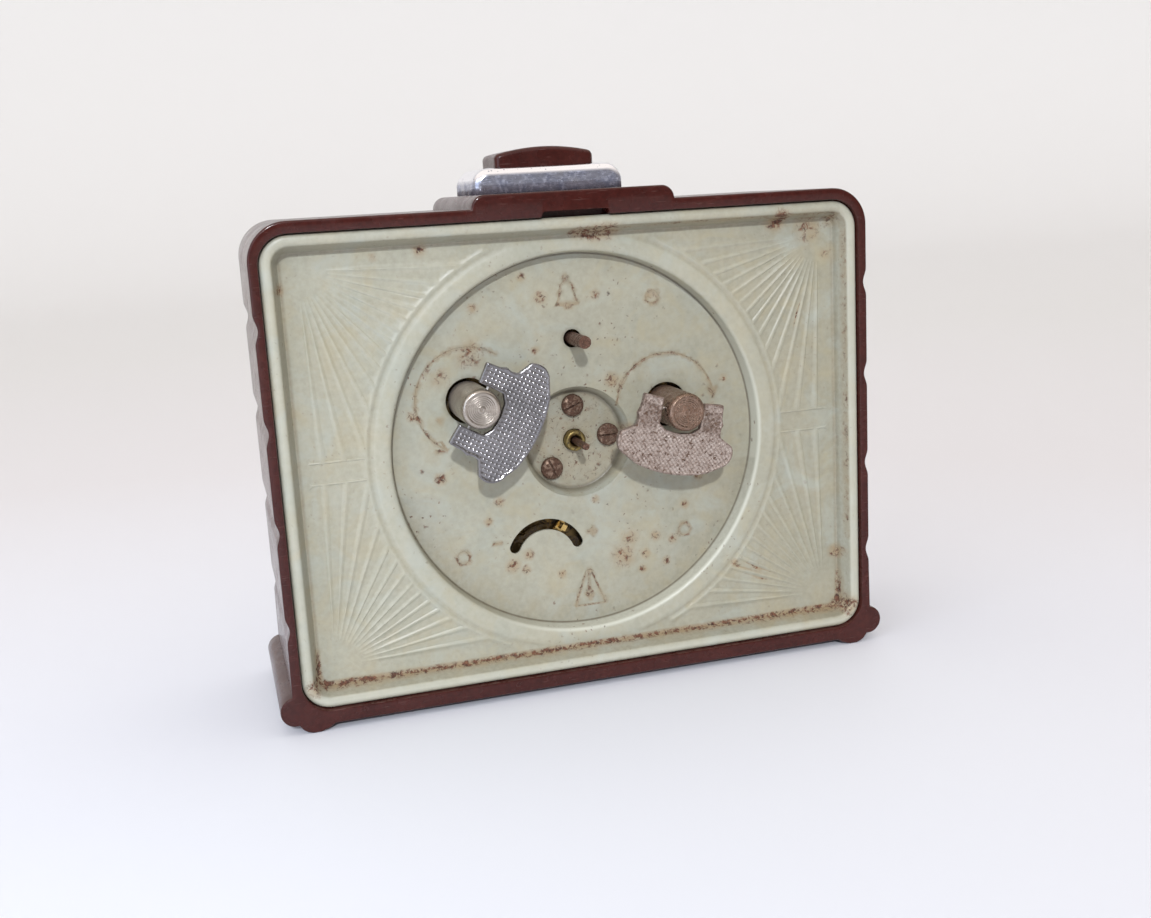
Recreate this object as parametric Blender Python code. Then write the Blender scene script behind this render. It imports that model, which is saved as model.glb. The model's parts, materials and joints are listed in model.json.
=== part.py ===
"""Wind-up alarm clock in a moulded Bakelite case, modelled with its whole movement.

Metres, +Z up.  The dial faces -Y, the back cover faces +Y, +X is to the dial's right.
The origin is at the middle of the base, on the surface the feet stand on.
Sizes below are in millimetres; every helper converts them with MM.
"""
import bpy
import bmesh
from math import atan2, cos, degrees, hypot, pi, radians, sin
from mathutils import Vector

MM = 0.001
GAP = 0.3                      # space kept between neighbouring pieces
ROUND_STEPS = 40               # sides of the largest round pieces

# ---------------------------------------------------------------- driving sizes
CASE_W = 140.0
CASE_H = 109.0
CASE_DEPTH = 46.0
CORNER_R = 8.5
FOOT_DROP = 1.5                # how far the feet reach below the case's underside
REAR_Y = 22.0                  # the case's rear rim
FRONT_Y = REAR_Y - CASE_DEPTH
CASE_Z = FOOT_DROP             # underside of the case
TOP_Z = CASE_Z + CASE_H

RIM_SIDE = 2.1                 # width of the rear rim
RIM_TOP = 2.6
RIM_BOTTOM = 3.2
LEDGE_Y = 18.0                 # the step that carries the back cover
WALL_SIDE = 4.2
WALL_TOP = 4.6
WALL_BOTTOM = 5.0
FRONT_WALL_IN_Y = -19.3

FLUTE_COUNT = 4
FLUTE_PITCH = 21.6
FLUTE_FIRST_Z = CASE_Z + 22.3
FLUTE_HALF = 2.7
FLUTE_DEPTH = 0.75

PLINTH_HALF = 22.9
PLINTH_H = 2.9
PLINTH_TOP_Z = TOP_Z + PLINTH_H

CENTRE_Z = CASE_Z + 55.0       # the hands' axis and the middle of the round recess
DIAL_OPENING_R = 44.5
CRYSTAL_SEAT_R = 46.8
CRYSTAL_SEAT_Y = -22.4

COVER_EDGE_GAP = 0.35
COVER_T = 0.6
COVER_BEAD_Y = 21.4
COVER_FIELD_Y = 17.0
RECESS_R = 43.7
RECESS_Y = 13.5
CUP_R = 12.6                   # small cup in the middle of the recess
CUP_Y = 10.0

REAR_PLATE_Y = (9.1, 7.9)      # movement plates: rear face, front face
FRONT_PLATE_Y = (-9.1, -10.3)
PLATE_R = 42.0

HOOD_Y = -8.0                  # middle of the hood and the button
HOOD_SIZE = (36.0, 20.0)
HOOD_TOP_Z = 119.3
HOOD_T = 0.6
BUTTON_SIZE = (23.5, 14.5)
BUTTON_END_Z = 122.2
BUTTON_PEAK_Z = 123.7
BUTTON_BASE_Z = 117.2
BUTTON_TRAVEL = 1.5

KEY_AXIS_Y = 23.9              # height of the folding keys' hinge pins
KEY_BOSS_END_Y = 27.5
KEY_BOSS_R = 4.0
KEY_T = 1.8

# Places in the movement, from the hands' axis: (to +X, to +Z)
TIME_AT = (-21.9, 6.7)
ALARM_AT = (24.9, 12.1)
ALARM_SET_AT = (0.0, 24.0)
BALANCE_AT = (9.0, -26.7)
KEY_ANGLE = {"time": -76.0, "alarm": 210.0}
SCREW_AT = ((0.0, 8.2), (-8.2, 0.5), (5.8, -6.1))
PILLAR_AT = ((-11.5, 32.0), (11.5, 32.0), (-28.0, -22.0), (27.0, -20.0))
CENTRE_ARBOR_R = 0.8
CENTRE_BORE_R = CENTRE_ARBOR_R + 0.35
CENTRE_BUSH_R = 2.45
CLICK_REACH = 10.5
CLICK_ANGLE = {"time": -60.0, "alarm": -120.0}
CLICK_LEAN = 49.0              # turns a click from its arbor's centre to its ratchet's rim
LEVER_AT = (-16.0, 36.0)
REGULATOR_R = 8.2              # from the balance's axis to the regulator's tab and its slot
REGULATOR_SLOT = (25.0, 158.0)
REGULATOR_ANGLE = 122.0

# Wheel train: teeth, and pitch radii worked out from the centre distances
GREAT_TEETH = 40
CENTRE_PINION_TEETH = 8
CENTRE_TEETH = 48
THIRD_TEETH = 45
FOURTH_TEETH = 48
LEAF_COUNT = 6                 # leaves of the third, fourth and escape pinions
ESCAPE_TEETH = 15
TRAIN_MODULE = 0.5
FOURTH_MODULE = 0.42
CANNON_TEETH = 8
MINUTE_TEETH = 24
MINUTE_PINION_TEETH = 8
HOUR_TEETH = 32
HOUR_R = 12.0
ALARM_GREAT_TEETH = 32
STRIKE_PINION_TEETH = 8
STRIKE_TEETH = 18
STRIKE_DISTANCE = 16.2
RATCHET_TEETH = 16

# ---------------------------------------------------------------- materials
MATERIALS = {
    "bakelite": ((0.075, 0.014, 0.010), 0.28, 0.0),
    "cover_paint": ((0.56, 0.56, 0.43), 0.45, 0.0),
    "chrome": ((0.80, 0.80, 0.82), 0.10, 1.0),
    "nickel": ((0.66, 0.63, 0.60), 0.28, 1.0),
    "rusty_nickel": ((0.42, 0.33, 0.29), 0.50, 0.8),
    "rusty_steel": ((0.22, 0.13, 0.09), 0.60, 0.7),
    "steel": ((0.50, 0.50, 0.51), 0.30, 1.0),
    "spring_steel": ((0.18, 0.21, 0.30), 0.30, 1.0),
    "brass": ((0.72, 0.50, 0.20), 0.30, 1.0),
    "dial_enamel": ((0.86, 0.83, 0.74), 0.40, 0.0),
    "hand_paint": ((0.03, 0.03, 0.03), 0.35, 0.0),
    "glass": ((0.95, 0.97, 0.97), 0.03, 0.0),
}


def clear_scene():
    for old in list(bpy.data.objects):
        bpy.data.objects.remove(old, do_unlink=True)


def material(slot):
    found = bpy.data.materials.get(slot)
    if found:
        return found
    colour, roughness, metallic = MATERIALS[slot]
    made = bpy.data.materials.new(slot)
    made.use_nodes = True
    shader = made.node_tree.nodes["Principled BSDF"]
    shader.inputs["Base Color"].default_value = (*colour, 1.0)
    shader.inputs["Roughness"].default_value = roughness
    shader.inputs["Metallic"].default_value = metallic
    made.diffuse_color = (*colour, 1.0)
    return made


# ---------------------------------------------------------------- outlines (x, z) in mm
def arc(centre, radius, start_deg, end_deg, steps):
    """Points on an arc, both ends included."""
    points = []
    for i in range(steps + 1):
        angle = radians(start_deg + (end_deg - start_deg) * i / steps)
        points.append((centre[0] + radius * cos(angle), centre[1] + radius * sin(angle)))
    return points


def circle(radius, steps, centre=(0.0, 0.0)):
    """A circle that starts half a step round, so that no point lies on an axis."""
    step = 360.0 / steps
    return arc(centre, radius, step / 2.0, 360.0 - step / 2.0, steps - 1)


def rounded_rect(left, right, low, high, radius, steps=4):
    """Counter-clockwise rounded rectangle, starting at its lower right corner."""
    corners = (
        ((right - radius, low + radius), -90.0),
        ((right - radius, high - radius), 0.0),
        ((left + radius, high - radius), 90.0),
        ((left + radius, low + radius), 180.0),
    )
    points = []
    for centre, start in corners:
        points += arc(centre, radius, start, start + 90.0, steps)
    return points


def mirrored(half):
    """Closes a half outline, given from bottom to top at x > 0, with its mirror image."""
    return half + [(-x, z) for x, z in reversed(half)]


def gear_outline(teeth, pitch_r, module, phase):
    """Pointed teeth; phase is the angle of one tooth's middle, in radians."""
    tip_r = pitch_r + 0.8 * module
    root_r = pitch_r - 1.1 * module
    pitch = 2.0 * pi / teeth
    points = []
    for i in range(teeth):
        middle = phase + i * pitch
        for share, radius in ((-0.24, root_r), (0.0, tip_r), (0.24, root_r)):
            angle = middle + share * pitch
            points.append((radius * cos(angle), radius * sin(angle)))
    return points


def saw_outline(teeth, tip_r, root_r):
    """Ratchet or escape teeth, each leaning one way."""
    pitch = 2.0 * pi / teeth
    points = []
    for i in range(teeth):
        points.append((tip_r * cos(i * pitch), tip_r * sin(i * pitch)))
        points.append((root_r * cos((i + 0.12) * pitch), root_r * sin((i + 0.12) * pitch)))
    return points


def mesh_phase(first_at, second_at, first_phase, first_teeth, second_teeth):
    """Phase that puts the second gear's gap on the first gear's tooth."""
    line = atan2(second_at[1] - first_at[1], second_at[0] - first_at[0])
    first_pitch = 2.0 * pi / first_teeth
    second_pitch = 2.0 * pi / second_teeth
    share = ((first_phase - line) / first_pitch) % 1.0
    return line + pi - (share + 0.5) * second_pitch


def rotated(outline, angle_deg):
    """An outline turned anticlockwise as the dial is read."""
    angle = radians(angle_deg)
    return [(x * cos(angle) - z * sin(angle), x * sin(angle) + z * cos(angle)) for x, z in outline]


def polar(start, distance, angle_deg):
    angle = radians(angle_deg)
    return (start[0] + distance * cos(angle), start[1] + distance * sin(angle))


# ---------------------------------------------------------------- solids
def finish(bm, name, slot, at, smooth=True):
    """Turns a bmesh in mm, around (at x, at z), into a placed object."""
    bmesh.ops.recalc_face_normals(bm, faces=bm.faces)
    for vert in bm.verts:
        vert.co *= MM
    mesh = bpy.data.meshes.new(name)
    bm.to_mesh(mesh)
    bm.free()
    mesh.materials.append(material(slot))
    if smooth:
        mesh.shade_smooth()
        mesh.set_sharp_from_angle(angle=radians(35.0))
    made = bpy.data.objects.new(name, mesh)
    made.location = (at[0] * MM, 0.0, (CENTRE_Z + at[1]) * MM)
    bpy.context.collection.objects.link(made)
    return made


def add_loop(bm, points, y):
    verts = [bm.verts.new((x, y, z)) for x, z in points]
    return [bm.edges.new((verts[i], verts[(i + 1) % len(verts)])) for i in range(len(verts))]


def prism(name, slot, at, outline, y_span, holes=(), smooth=True):
    """An outline with holes, extruded along Y between the two depths."""
    bm = bmesh.new()
    edges = add_loop(bm, outline, y_span[0])
    for hole in holes:
        edges += add_loop(bm, hole, y_span[0])
    bmesh.ops.triangle_fill(bm, edges=edges, use_beauty=True, use_dissolve=False)
    moved = bmesh.ops.extrude_face_region(bm, geom=list(bm.faces))
    verts = [item for item in moved["geom"] if isinstance(item, bmesh.types.BMVert)]
    bmesh.ops.translate(bm, verts=verts, vec=(0.0, y_span[1] - y_span[0], 0.0))
    return finish(bm, name, slot, at, smooth)


def lathe(name, slot, at, profile, steps):
    """A closed (radius, y) profile turned about the axis through at, along Y."""
    bm = bmesh.new()
    verts = [bm.verts.new((radius, y, 0.0)) for radius, y in profile]
    edges = []
    for vert, following in zip(verts, verts[1:] + verts[:1]):
        if vert.co.x > 0.0 or following.co.x > 0.0:
            edges.append(bm.edges.new((vert, following)))
    bmesh.ops.spin(bm, geom=verts + edges, cent=(0.0, 0.0, 0.0), axis=(0.0, 1.0, 0.0),
                   angle=2.0 * pi, steps=steps, use_merge=True, use_duplicate=False)
    bmesh.ops.remove_doubles(bm, verts=bm.verts, dist=0.0001)
    return finish(bm, name, slot, at)


def rod(name, slot, at, radius, y_span, steps=12):
    return prism(name, slot, at, circle(radius, steps), y_span)


def ribbon(name, slot, at, path, thickness, y_span):
    """A flat strip on edge, such as a spiral spring, with a rectangular section."""
    bm = bmesh.new()
    rings = []
    for i, point in enumerate(path):
        before = Vector(path[max(i - 1, 0)])
        after = Vector(path[min(i + 1, len(path) - 1)])
        along = (after - before).normalized()
        side = Vector((-along.y, along.x)) * thickness / 2.0
        corners = ((side, y_span[0]), (side, y_span[1]), (-side, y_span[1]), (-side, y_span[0]))
        rings.append([bm.verts.new((point[0] + s.x, y, point[1] + s.y)) for s, y in corners])
    for ring, following in zip(rings, rings[1:]):
        for i in range(4):
            j = (i + 1) % 4
            bm.faces.new((ring[i], ring[j], following[j], following[i]))
    bm.faces.new(rings[0])
    bm.faces.new(list(reversed(rings[-1])))
    return finish(bm, name, slot, at, smooth=False)


def wire(name, slot, points, radius, resolution):
    """A round wire along world points in mm, with closed ends."""
    curve = bpy.data.curves.new(name, "CURVE")
    curve.dimensions = "3D"
    curve.bevel_depth = radius * MM
    curve.bevel_resolution = resolution
    curve.use_fill_caps = True
    spline = curve.splines.new("POLY")
    spline.points.add(len(points) - 1)
    for slot_point, (x, y, z) in zip(spline.points, points):
        slot_point.co = (x * MM, y * MM, z * MM, 1.0)
    curve.materials.append(material(slot))
    made = bpy.data.objects.new(name, curve)
    bpy.context.collection.objects.link(made)
    return made


def use_as_tool(tool):
    tool.hide_render = True
    tool.display_type = "WIRE"
    return tool


def boolean(target, tool, operation):
    use_as_tool(tool)
    step = target.modifiers.new(tool.name, "BOOLEAN")
    step.operation = operation
    step.object = tool
    step.solver = "EXACT"


def cut(target, tool):
    boolean(target, tool, "DIFFERENCE")


def fuse(target, tool):
    boolean(target, tool, "UNION")


# ---------------------------------------------------------------- case and covers
def foot_outline():
    """The right-hand foot: two rolled lobes, from the underside round to the side wall."""
    side = CASE_W / 2.0
    side_lobe = (side - 0.4, CASE_Z + 3.9)
    low_lobe = (side - 4.1, CASE_Z + 2.1)
    flat_z = 0.0
    points = [(side - 8.7, CASE_Z), (side - 7.2, 0.6), (side - 5.4, flat_z), (side - 3.6, flat_z)]
    points += arc(low_lobe, 3.6, -65.0, -25.0, 2)
    points += arc(side_lobe, 3.4, -80.0, 80.0, 6)
    return points


def case_outline():
    """Outside of the case, counter-clockwise from the middle of its underside."""
    side = CASE_W / 2.0
    half = foot_outline()
    flute_r = (FLUTE_HALF ** 2 + FLUTE_DEPTH ** 2) / (2.0 * FLUTE_DEPTH)
    spread = degrees(atan2(FLUTE_HALF, flute_r - FLUTE_DEPTH))
    for i in range(FLUTE_COUNT):
        middle = (side + flute_r - FLUTE_DEPTH, FLUTE_FIRST_Z + i * FLUTE_PITCH)
        half += arc(middle, flute_r, 180.0 + spread, 180.0 - spread, 4)
    half += arc((side - CORNER_R, TOP_Z - CORNER_R), CORNER_R, 0.0, 90.0, 6)
    half += [(PLINTH_HALF, TOP_Z)]
    half += arc((PLINTH_HALF - PLINTH_H, TOP_Z), PLINTH_H, 15.0, 90.0, 4)
    return mirrored(half)


def from_base(outline):
    """Outlines above are measured from the base; the helpers measure from the hands' axis."""
    return [(x, z - CENTRE_Z) for x, z in outline]


def inner_rect(side, top, bottom, radius):
    half = CASE_W / 2.0 - side
    return from_base(rounded_rect(-half, half, CASE_Z + bottom, TOP_Z - top, radius))


def make_case():
    case = prism("case", "bakelite", (0.0, 0.0), from_base(case_outline()), (REAR_Y, FRONT_Y))
    beyond = 2.0
    rebate = prism("cover_rebate_cut", "bakelite", (0.0, 0.0),
                   inner_rect(RIM_SIDE, RIM_TOP, RIM_BOTTOM, 6.4), (REAR_Y + beyond, LEDGE_Y))
    cut(case, rebate)
    cavity = prism("cavity_cut", "bakelite", (0.0, 0.0),
                   inner_rect(WALL_SIDE, WALL_TOP, WALL_BOTTOM, 5.0), (LEDGE_Y + 1.0, FRONT_WALL_IN_Y))
    cut(case, cavity)
    opening = lathe("dial_opening_cut", "bakelite", (0.0, 0.0),
                    [(0.0, FRONT_WALL_IN_Y + beyond), (DIAL_OPENING_R, FRONT_WALL_IN_Y + beyond),
                     (DIAL_OPENING_R, CRYSTAL_SEAT_Y), (CRYSTAL_SEAT_R, CRYSTAL_SEAT_Y),
                     (CRYSTAL_SEAT_R, FRONT_Y - beyond), (0.0, FRONT_Y - beyond)], ROUND_STEPS)
    cut(case, opening)
    slot_low = TOP_Z - RIM_TOP - 0.8
    thumb_slot = prism("thumb_slot_cut", "bakelite", (0.0, 0.0),
                       from_base([(-8.2, slot_low), (8.2, slot_low),
                                  (7.4, TOP_Z - 1.3), (-7.4, TOP_Z - 1.3)]),
                       (REAR_Y + beyond, REAR_Y - 5.0))
    cut(case, thumb_slot)
    bm = bmesh.new()
    bmesh.ops.create_cone(bm, cap_ends=True, segments=16, radius1=2.0, radius2=2.0, depth=14.0)
    stem_hole = finish(bm, "stem_hole_cut", "bakelite", (0.0, 0.0))
    stem_hole.location = (0.0, HOOD_Y * MM, (PLINTH_TOP_Z - 3.5) * MM)
    cut(case, stem_hole)


def cover_ring(inset):
    """One ring of the cover: a rounded rectangle, resampled between its corners."""
    edge = COVER_EDGE_GAP + inset
    half_w = CASE_W / 2.0 - RIM_SIDE - edge
    low = CASE_Z + RIM_BOTTOM + edge - CENTRE_Z
    high = TOP_Z - RIM_TOP - edge - CENTRE_Z
    radius = max(6.4 - edge, 2.2)
    corners = rounded_rect(-half_w, half_w, low, high, radius)
    ring = []
    for i in range(4):
        corner = corners[5 * i:5 * i + 5]
        ring += corner
        start = corner[-1]
        end = corners[(5 * i + 5) % 20]
        between = 5 if i % 2 == 0 else 7
        for k in range(1, between + 1):
            share = k / (between + 1)
            ring.append((start[0] + (end[0] - start[0]) * share,
                         start[1] + (end[1] - start[1]) * share))
    return ring


def round_ring(radius):
    """The same number of points on a circle, each straight inside its point on the cover's edge."""
    ring = []
    for x, z in cover_ring(5.0):
        length = hypot(x, z)
        ring.append((radius * x / length, radius * z / length))
    return ring


def make_back_plate():
    skin = [
        (cover_ring(0.0), LEDGE_Y + GAP),
        (cover_ring(0.0), COVER_BEAD_Y - 0.9),
        (cover_ring(0.8), COVER_BEAD_Y),
        (cover_ring(2.4), COVER_BEAD_Y),
        (cover_ring(4.0), COVER_FIELD_Y),
        (round_ring(RECESS_R), COVER_FIELD_Y),
        (round_ring(RECESS_R - 0.5), RECESS_Y),
        (round_ring(CUP_R), RECESS_Y),
        (round_ring(CUP_R - 1.6), CUP_Y),
        (round_ring(2.6), CUP_Y),
        (round_ring(2.6), CUP_Y - COVER_T),
        (round_ring(CUP_R - 1.0), CUP_Y - COVER_T),
        (round_ring(CUP_R + 0.6), RECESS_Y - COVER_T),
        (round_ring(RECESS_R + 0.1), RECESS_Y - COVER_T),
        (round_ring(RECESS_R + 0.6), COVER_FIELD_Y - COVER_T),
        (cover_ring(3.6), COVER_FIELD_Y - COVER_T),
        (cover_ring(1.9), COVER_BEAD_Y - COVER_T),
        (cover_ring(1.2), COVER_BEAD_Y - COVER_T),
        (cover_ring(0.6), COVER_BEAD_Y - 1.2),
        (cover_ring(0.6), LEDGE_Y + GAP),
    ]
    bm = bmesh.new()
    rings = [[bm.verts.new((x, y, z)) for x, z in ring] for ring, y in skin]
    count = len(rings[0])
    for i, ring in enumerate(rings):
        following = rings[(i + 1) % len(rings)]
        for k in range(count):
            j = (k + 1) % count
            bm.faces.new((ring[k], ring[j], following[j], following[k]))
    plate = finish(bm, "back_plate", "cover_paint", (0.0, 0.0))
    through = (COVER_FIELD_Y, CUP_Y - 3.0)
    cut(plate, rod("time_key_hole_cut", "steel", TIME_AT, 5.2, through, 24))
    cut(plate, rod("alarm_key_hole_cut", "steel", ALARM_AT, 5.2, through, 24))
    cut(plate, rod("alarm_set_hole_cut", "steel", ALARM_SET_AT, 2.1, through, 16))
    for i, at in enumerate(SCREW_AT):
        cut(plate, rod(f"screw_hole_{i + 1}_cut", "steel", at, 1.5, through, 12))
    low, high = REGULATOR_SLOT
    half_width = 1.3
    slot = arc((0.0, 0.0), REGULATOR_R + half_width, low, high, 10)
    slot += arc(polar((0.0, 0.0), REGULATOR_R, high), half_width, high + 45.0, high + 135.0, 2)
    slot += arc((0.0, 0.0), REGULATOR_R - half_width, high, low, 10)
    slot += arc(polar((0.0, 0.0), REGULATOR_R, low), half_width, low - 135.0, low - 45.0, 2)
    cut(plate, prism("regulator_slot_cut", "steel", BALANCE_AT, slot, through))


def make_front():
    bezel = [(43.6, -24.3), (49.0, -24.3), (49.5, -24.8), (49.0, -25.9), (47.2, -26.8),
             (45.2, -26.8), (44.0, -26.0), (43.6, -25.2)]
    lathe("bezel", "chrome", (0.0, 0.0), bezel, ROUND_STEPS)
    rim_y = -23.8
    outer = [(46.3, rim_y + 1.0), (46.3, rim_y), (43.0, rim_y)]
    outer += [(30.0, -26.0), (15.0, -27.2), (0.0, -27.5)]
    inner = [(0.0, -26.3), (15.0, -26.0), (30.0, -24.8), (42.0, rim_y + 1.0)]
    lathe("crystal", "glass", (0.0, 0.0), outer + inner, ROUND_STEPS)
    holes = [circle(2.7, 16), circle(1.8, 12, ALARM_SET_AT)]
    prism("dial", "dial_enamel", (0.0, 0.0), circle(45.7, ROUND_STEPS), (-18.2, -19.0), holes)


def box_loops(size, low_z, high_z, side_r, top_r, steps=3):
    """Horizontal rings of a loaf: straight sides, then a rounded top edge."""
    half_x = size[0] / 2.0
    half_y = size[1] / 2.0
    rings = [(rounded_rect(-half_x, half_x, -half_y, half_y, side_r, steps), low_z)]
    for i in range(steps + 1):
        angle = radians(90.0 * i / steps)
        inset = top_r * (1.0 - cos(angle))
        ring = rounded_rect(-half_x + inset, half_x - inset, -half_y + inset, half_y - inset,
                            max(side_r - inset, 0.3), steps)
        rings.append((ring, high_z - top_r + top_r * sin(angle)))
    return rings


def join_rings(bm, rings, closed):
    layers = [[bm.verts.new((x, y, z)) for x, y in ring] for ring, z in rings]
    count = len(layers[0])
    pairs = list(zip(layers, layers[1:]))
    if closed:
        pairs.append((layers[-1], layers[0]))
    for ring, following in pairs:
        for k in range(count):
            j = (k + 1) % count
            bm.faces.new((ring[k], ring[j], following[j], following[k]))
    return layers


def place_on_hood(made):
    made.location = (0.0, HOOD_Y * MM, 0.0)
    return made


def make_hood():
    low_z = PLINTH_TOP_Z + GAP
    gap_x = BUTTON_SIZE[0] / 2.0 + 0.4
    gap_y = BUTTON_SIZE[1] / 2.0 + 0.4
    opening = rounded_rect(-gap_x, gap_x, -gap_y, gap_y, 0.4, 3)
    outside = box_loops(HOOD_SIZE, low_z, HOOD_TOP_Z, 3.0, 2.4)
    inside_size = (HOOD_SIZE[0] - 2.0 * HOOD_T, HOOD_SIZE[1] - 2.0 * HOOD_T)
    inside = box_loops(inside_size, low_z, HOOD_TOP_Z - HOOD_T, 2.4, 1.8)
    rings = outside + [(opening, HOOD_TOP_Z), (opening, HOOD_TOP_Z - HOOD_T)] + list(reversed(inside))
    bm = bmesh.new()
    join_rings(bm, rings, closed=True)
    place_on_hood(finish(bm, "top_hood", "chrome", (0.0, 0.0)))


def make_button():
    """The stop button: a bar with a domed top, its stem, and the spring under it."""
    half_x = BUTTON_SIZE[0] / 2.0
    half_y = BUTTON_SIZE[1] / 2.0
    rise = BUTTON_PEAK_Z - BUTTON_END_Z
    dome_r = (half_x ** 2 + rise ** 2) / (2.0 * rise)
    spread = degrees(atan2(half_x - 1.0, dome_r - rise))
    profile = [(-half_x, BUTTON_BASE_Z), (half_x, BUTTON_BASE_Z), (half_x, BUTTON_END_Z - 1.0)]
    profile += arc((0.0, BUTTON_PEAK_Z - dome_r), dome_r, 90.0 - spread, 90.0 + spread, 8)
    profile += [(-half_x, BUTTON_END_Z - 1.0)]
    button = prism("stop_button", "bakelite", (0.0, 0.0), from_base(profile), (half_y, -half_y))
    button.location.y = HOOD_Y * MM
    bm = bmesh.new()
    low_z = 100.4
    high_z = BUTTON_BASE_Z - GAP
    bmesh.ops.create_cone(bm, cap_ends=True, segments=16, radius1=1.5, radius2=1.5,
                          depth=high_z - low_z)
    stem = finish(bm, "stop_stem", "steel", (0.0, 0.0))
    stem.location = (0.0, HOOD_Y * MM, (low_z + high_z) / 2.0 * MM)
    turns = 2.5
    per_turn = 10
    coil_r = 3.1
    wire_r = 0.25
    low = PLINTH_TOP_Z + GAP + wire_r
    high = BUTTON_BASE_Z - GAP - wire_r
    points = []
    for i in range(int(turns * per_turn) + 1):
        angle = 2.0 * pi * i / per_turn
        height = low + (high - low) * i / (turns * per_turn)
        points.append((coil_r * cos(angle), HOOD_Y + coil_r * sin(angle), height))
    wire("button_spring", "spring_steel", points, wire_r, 1)


def make_back_screws():
    head_y = CUP_Y + GAP
    for i, at in enumerate(SCREW_AT):
        profile = [(0.0, head_y + 1.3), (2.1, head_y + 1.3), (2.6, head_y + 0.8), (2.6, head_y),
                   (1.1, head_y), (1.1, 6.6), (0.0, 6.6)]
        screw = lathe(f"back_screw_{i + 1}", "rusty_steel", at, profile, 14)
        slot = prism(f"screw_slot_{i + 1}_cut", "rusty_steel", at,
                     [(-3.0, -0.35), (3.0, -0.35), (3.0, 0.35), (-3.0, 0.35)],
                     (head_y + 2.0, head_y + 0.7))
        slot.rotation_euler.y = radians((22.0, 0.0, -70.0)[i])
        cut(screw, slot)


# ---------------------------------------------------------------- winding keys
def key_flap_outline():
    """Folding wing in (away from the arbor, across): a butterfly with a cut for the boss."""
    edge_r = 29.0
    edge_reach = 14.8
    tip = (8.4, 10.5)
    tip_r = 3.6
    spread = degrees(atan2(9.0, edge_r))
    upper = arc((edge_reach - edge_r, 0.0), edge_r, 0.0, spread, 3)
    upper += arc(tip, tip_r, 20.0, 130.0, 5)
    upper += [(3.6, 10.9), (1.5, 9.7), (-2.6, 9.7), (-2.3, 5.0), (3.6, 5.0), (4.9, 3.2)]
    lower = [(x, -z) for x, z in reversed(upper) if z > 0.0]
    return upper + [(5.3, 0.0)] + lower


def make_key(kind, at, boss_slot, flap_slot):
    """Boss on the winding arbor, its hinge pin and the folding wing."""
    angle = radians(KEY_ANGLE[kind])
    boss = lathe(f"{kind}_key_boss", boss_slot, at,
                 [(0.0, KEY_BOSS_END_Y), (KEY_BOSS_R - 0.8, KEY_BOSS_END_Y),
                  (KEY_BOSS_R, KEY_BOSS_END_Y - 0.8), (KEY_BOSS_R, 12.0), (3.0, 11.0),
                  (3.0, REAR_PLATE_Y[0] + GAP), (0.0, REAR_PLATE_Y[0] + GAP)], 20)
    pin_r = 0.35
    bore_r = pin_r + GAP
    centre = ((at[0]) * MM, KEY_AXIS_Y * MM, (CENTRE_Z + at[1]) * MM)
    for label, radius, length in (("pin", pin_r, 18.6), ("bore_cut", bore_r, 30.0)):
        bm = bmesh.new()
        bmesh.ops.create_cone(bm, cap_ends=True, segments=12, radius1=radius, radius2=radius,
                              depth=length)
        made = finish(bm, f"{kind}_key_{label}", "steel", at)
        made.location = centre
        made.rotation_euler = (0.0, -angle, 0.0)
        if label == "bore_cut":
            bore = made
    cut(boss, bore)
    flap = prism(f"{kind}_key_flap", flap_slot, at, key_flap_outline(), (KEY_T / 2.0, -KEY_T / 2.0))
    flap.location = centre
    flap.rotation_euler = (0.0, -angle, 0.0)
    cut(flap, bore)


def make_winding_arbor(kind, at):
    """Mainspring arbor with its ratchet teeth, the click beside it and the coiled mainspring."""
    low_y = FRONT_PLATE_Y[1] + GAP
    arbor = rod(f"{kind}_winding_arbor", "steel", at, 2.0, (REAR_PLATE_Y[0], low_y), 16)
    ratchet = prism(f"{kind}_ratchet_part", "steel", at, saw_outline(RATCHET_TEETH, 7.5, 6.3),
                    (7.0, 6.0))
    fuse(arbor, ratchet)
    pivot = polar(at, CLICK_REACH, CLICK_ANGLE[kind])
    lean = 180.0 + CLICK_ANGLE[kind] + CLICK_LEAN
    outline = rotated([(-1.5, -1.3), (1.5, -1.3), (4.6, -0.4), (6.0, 0.0), (4.8, 1.2), (-1.5, 1.3)], lean)
    click = prism(f"{kind}_click", "steel", pivot, outline, (7.0, 6.0))
    fuse(click, rod(f"{kind}_click_pivot_part", "steel", pivot, 0.7, (8.8, 5.6), 6))
    turns = 3.5
    per_turn = 12
    first_r = 4.0
    last_r = 12.6
    path = []
    for i in range(int(turns * per_turn) + 1):
        share = i / (turns * per_turn)
        path.append(polar((0.0, 0.0), first_r + (last_r - first_r) * share, 360.0 * turns * share))
    ribbon(f"{kind}_mainspring", "spring_steel", at, path, 0.5, (5.0, -0.3))


# ---------------------------------------------------------------- wheel train
def train_places():
    """Where each arbor of the going train and the strike stands, from the hands' axis."""
    leaf = LEAF_COUNT / 2.0
    third = polar((0.0, 0.0), TRAIN_MODULE * (CENTRE_TEETH / 2.0 + leaf), -100.0)
    fourth = polar(third, TRAIN_MODULE * (THIRD_TEETH / 2.0 + leaf), 205.0)
    escape = polar(fourth, FOURTH_MODULE * (FOURTH_TEETH / 2.0 + leaf), -80.0)
    towards = degrees(atan2(BALANCE_AT[1] - escape[1], BALANCE_AT[0] - escape[0]))
    pallet = polar(escape, 8.6, towards)
    minute = polar((0.0, 0.0), HOUR_R * (1.0 + MINUTE_PINION_TEETH / HOUR_TEETH), -60.0)
    strike = polar(ALARM_AT, STRIKE_DISTANCE, -60.0)
    hammer = polar(strike, 8.6, -100.0)
    return {"third": third, "fourth": fourth, "escape": escape, "pallet": pallet,
            "minute": minute, "strike": strike, "hammer": hammer}


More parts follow.
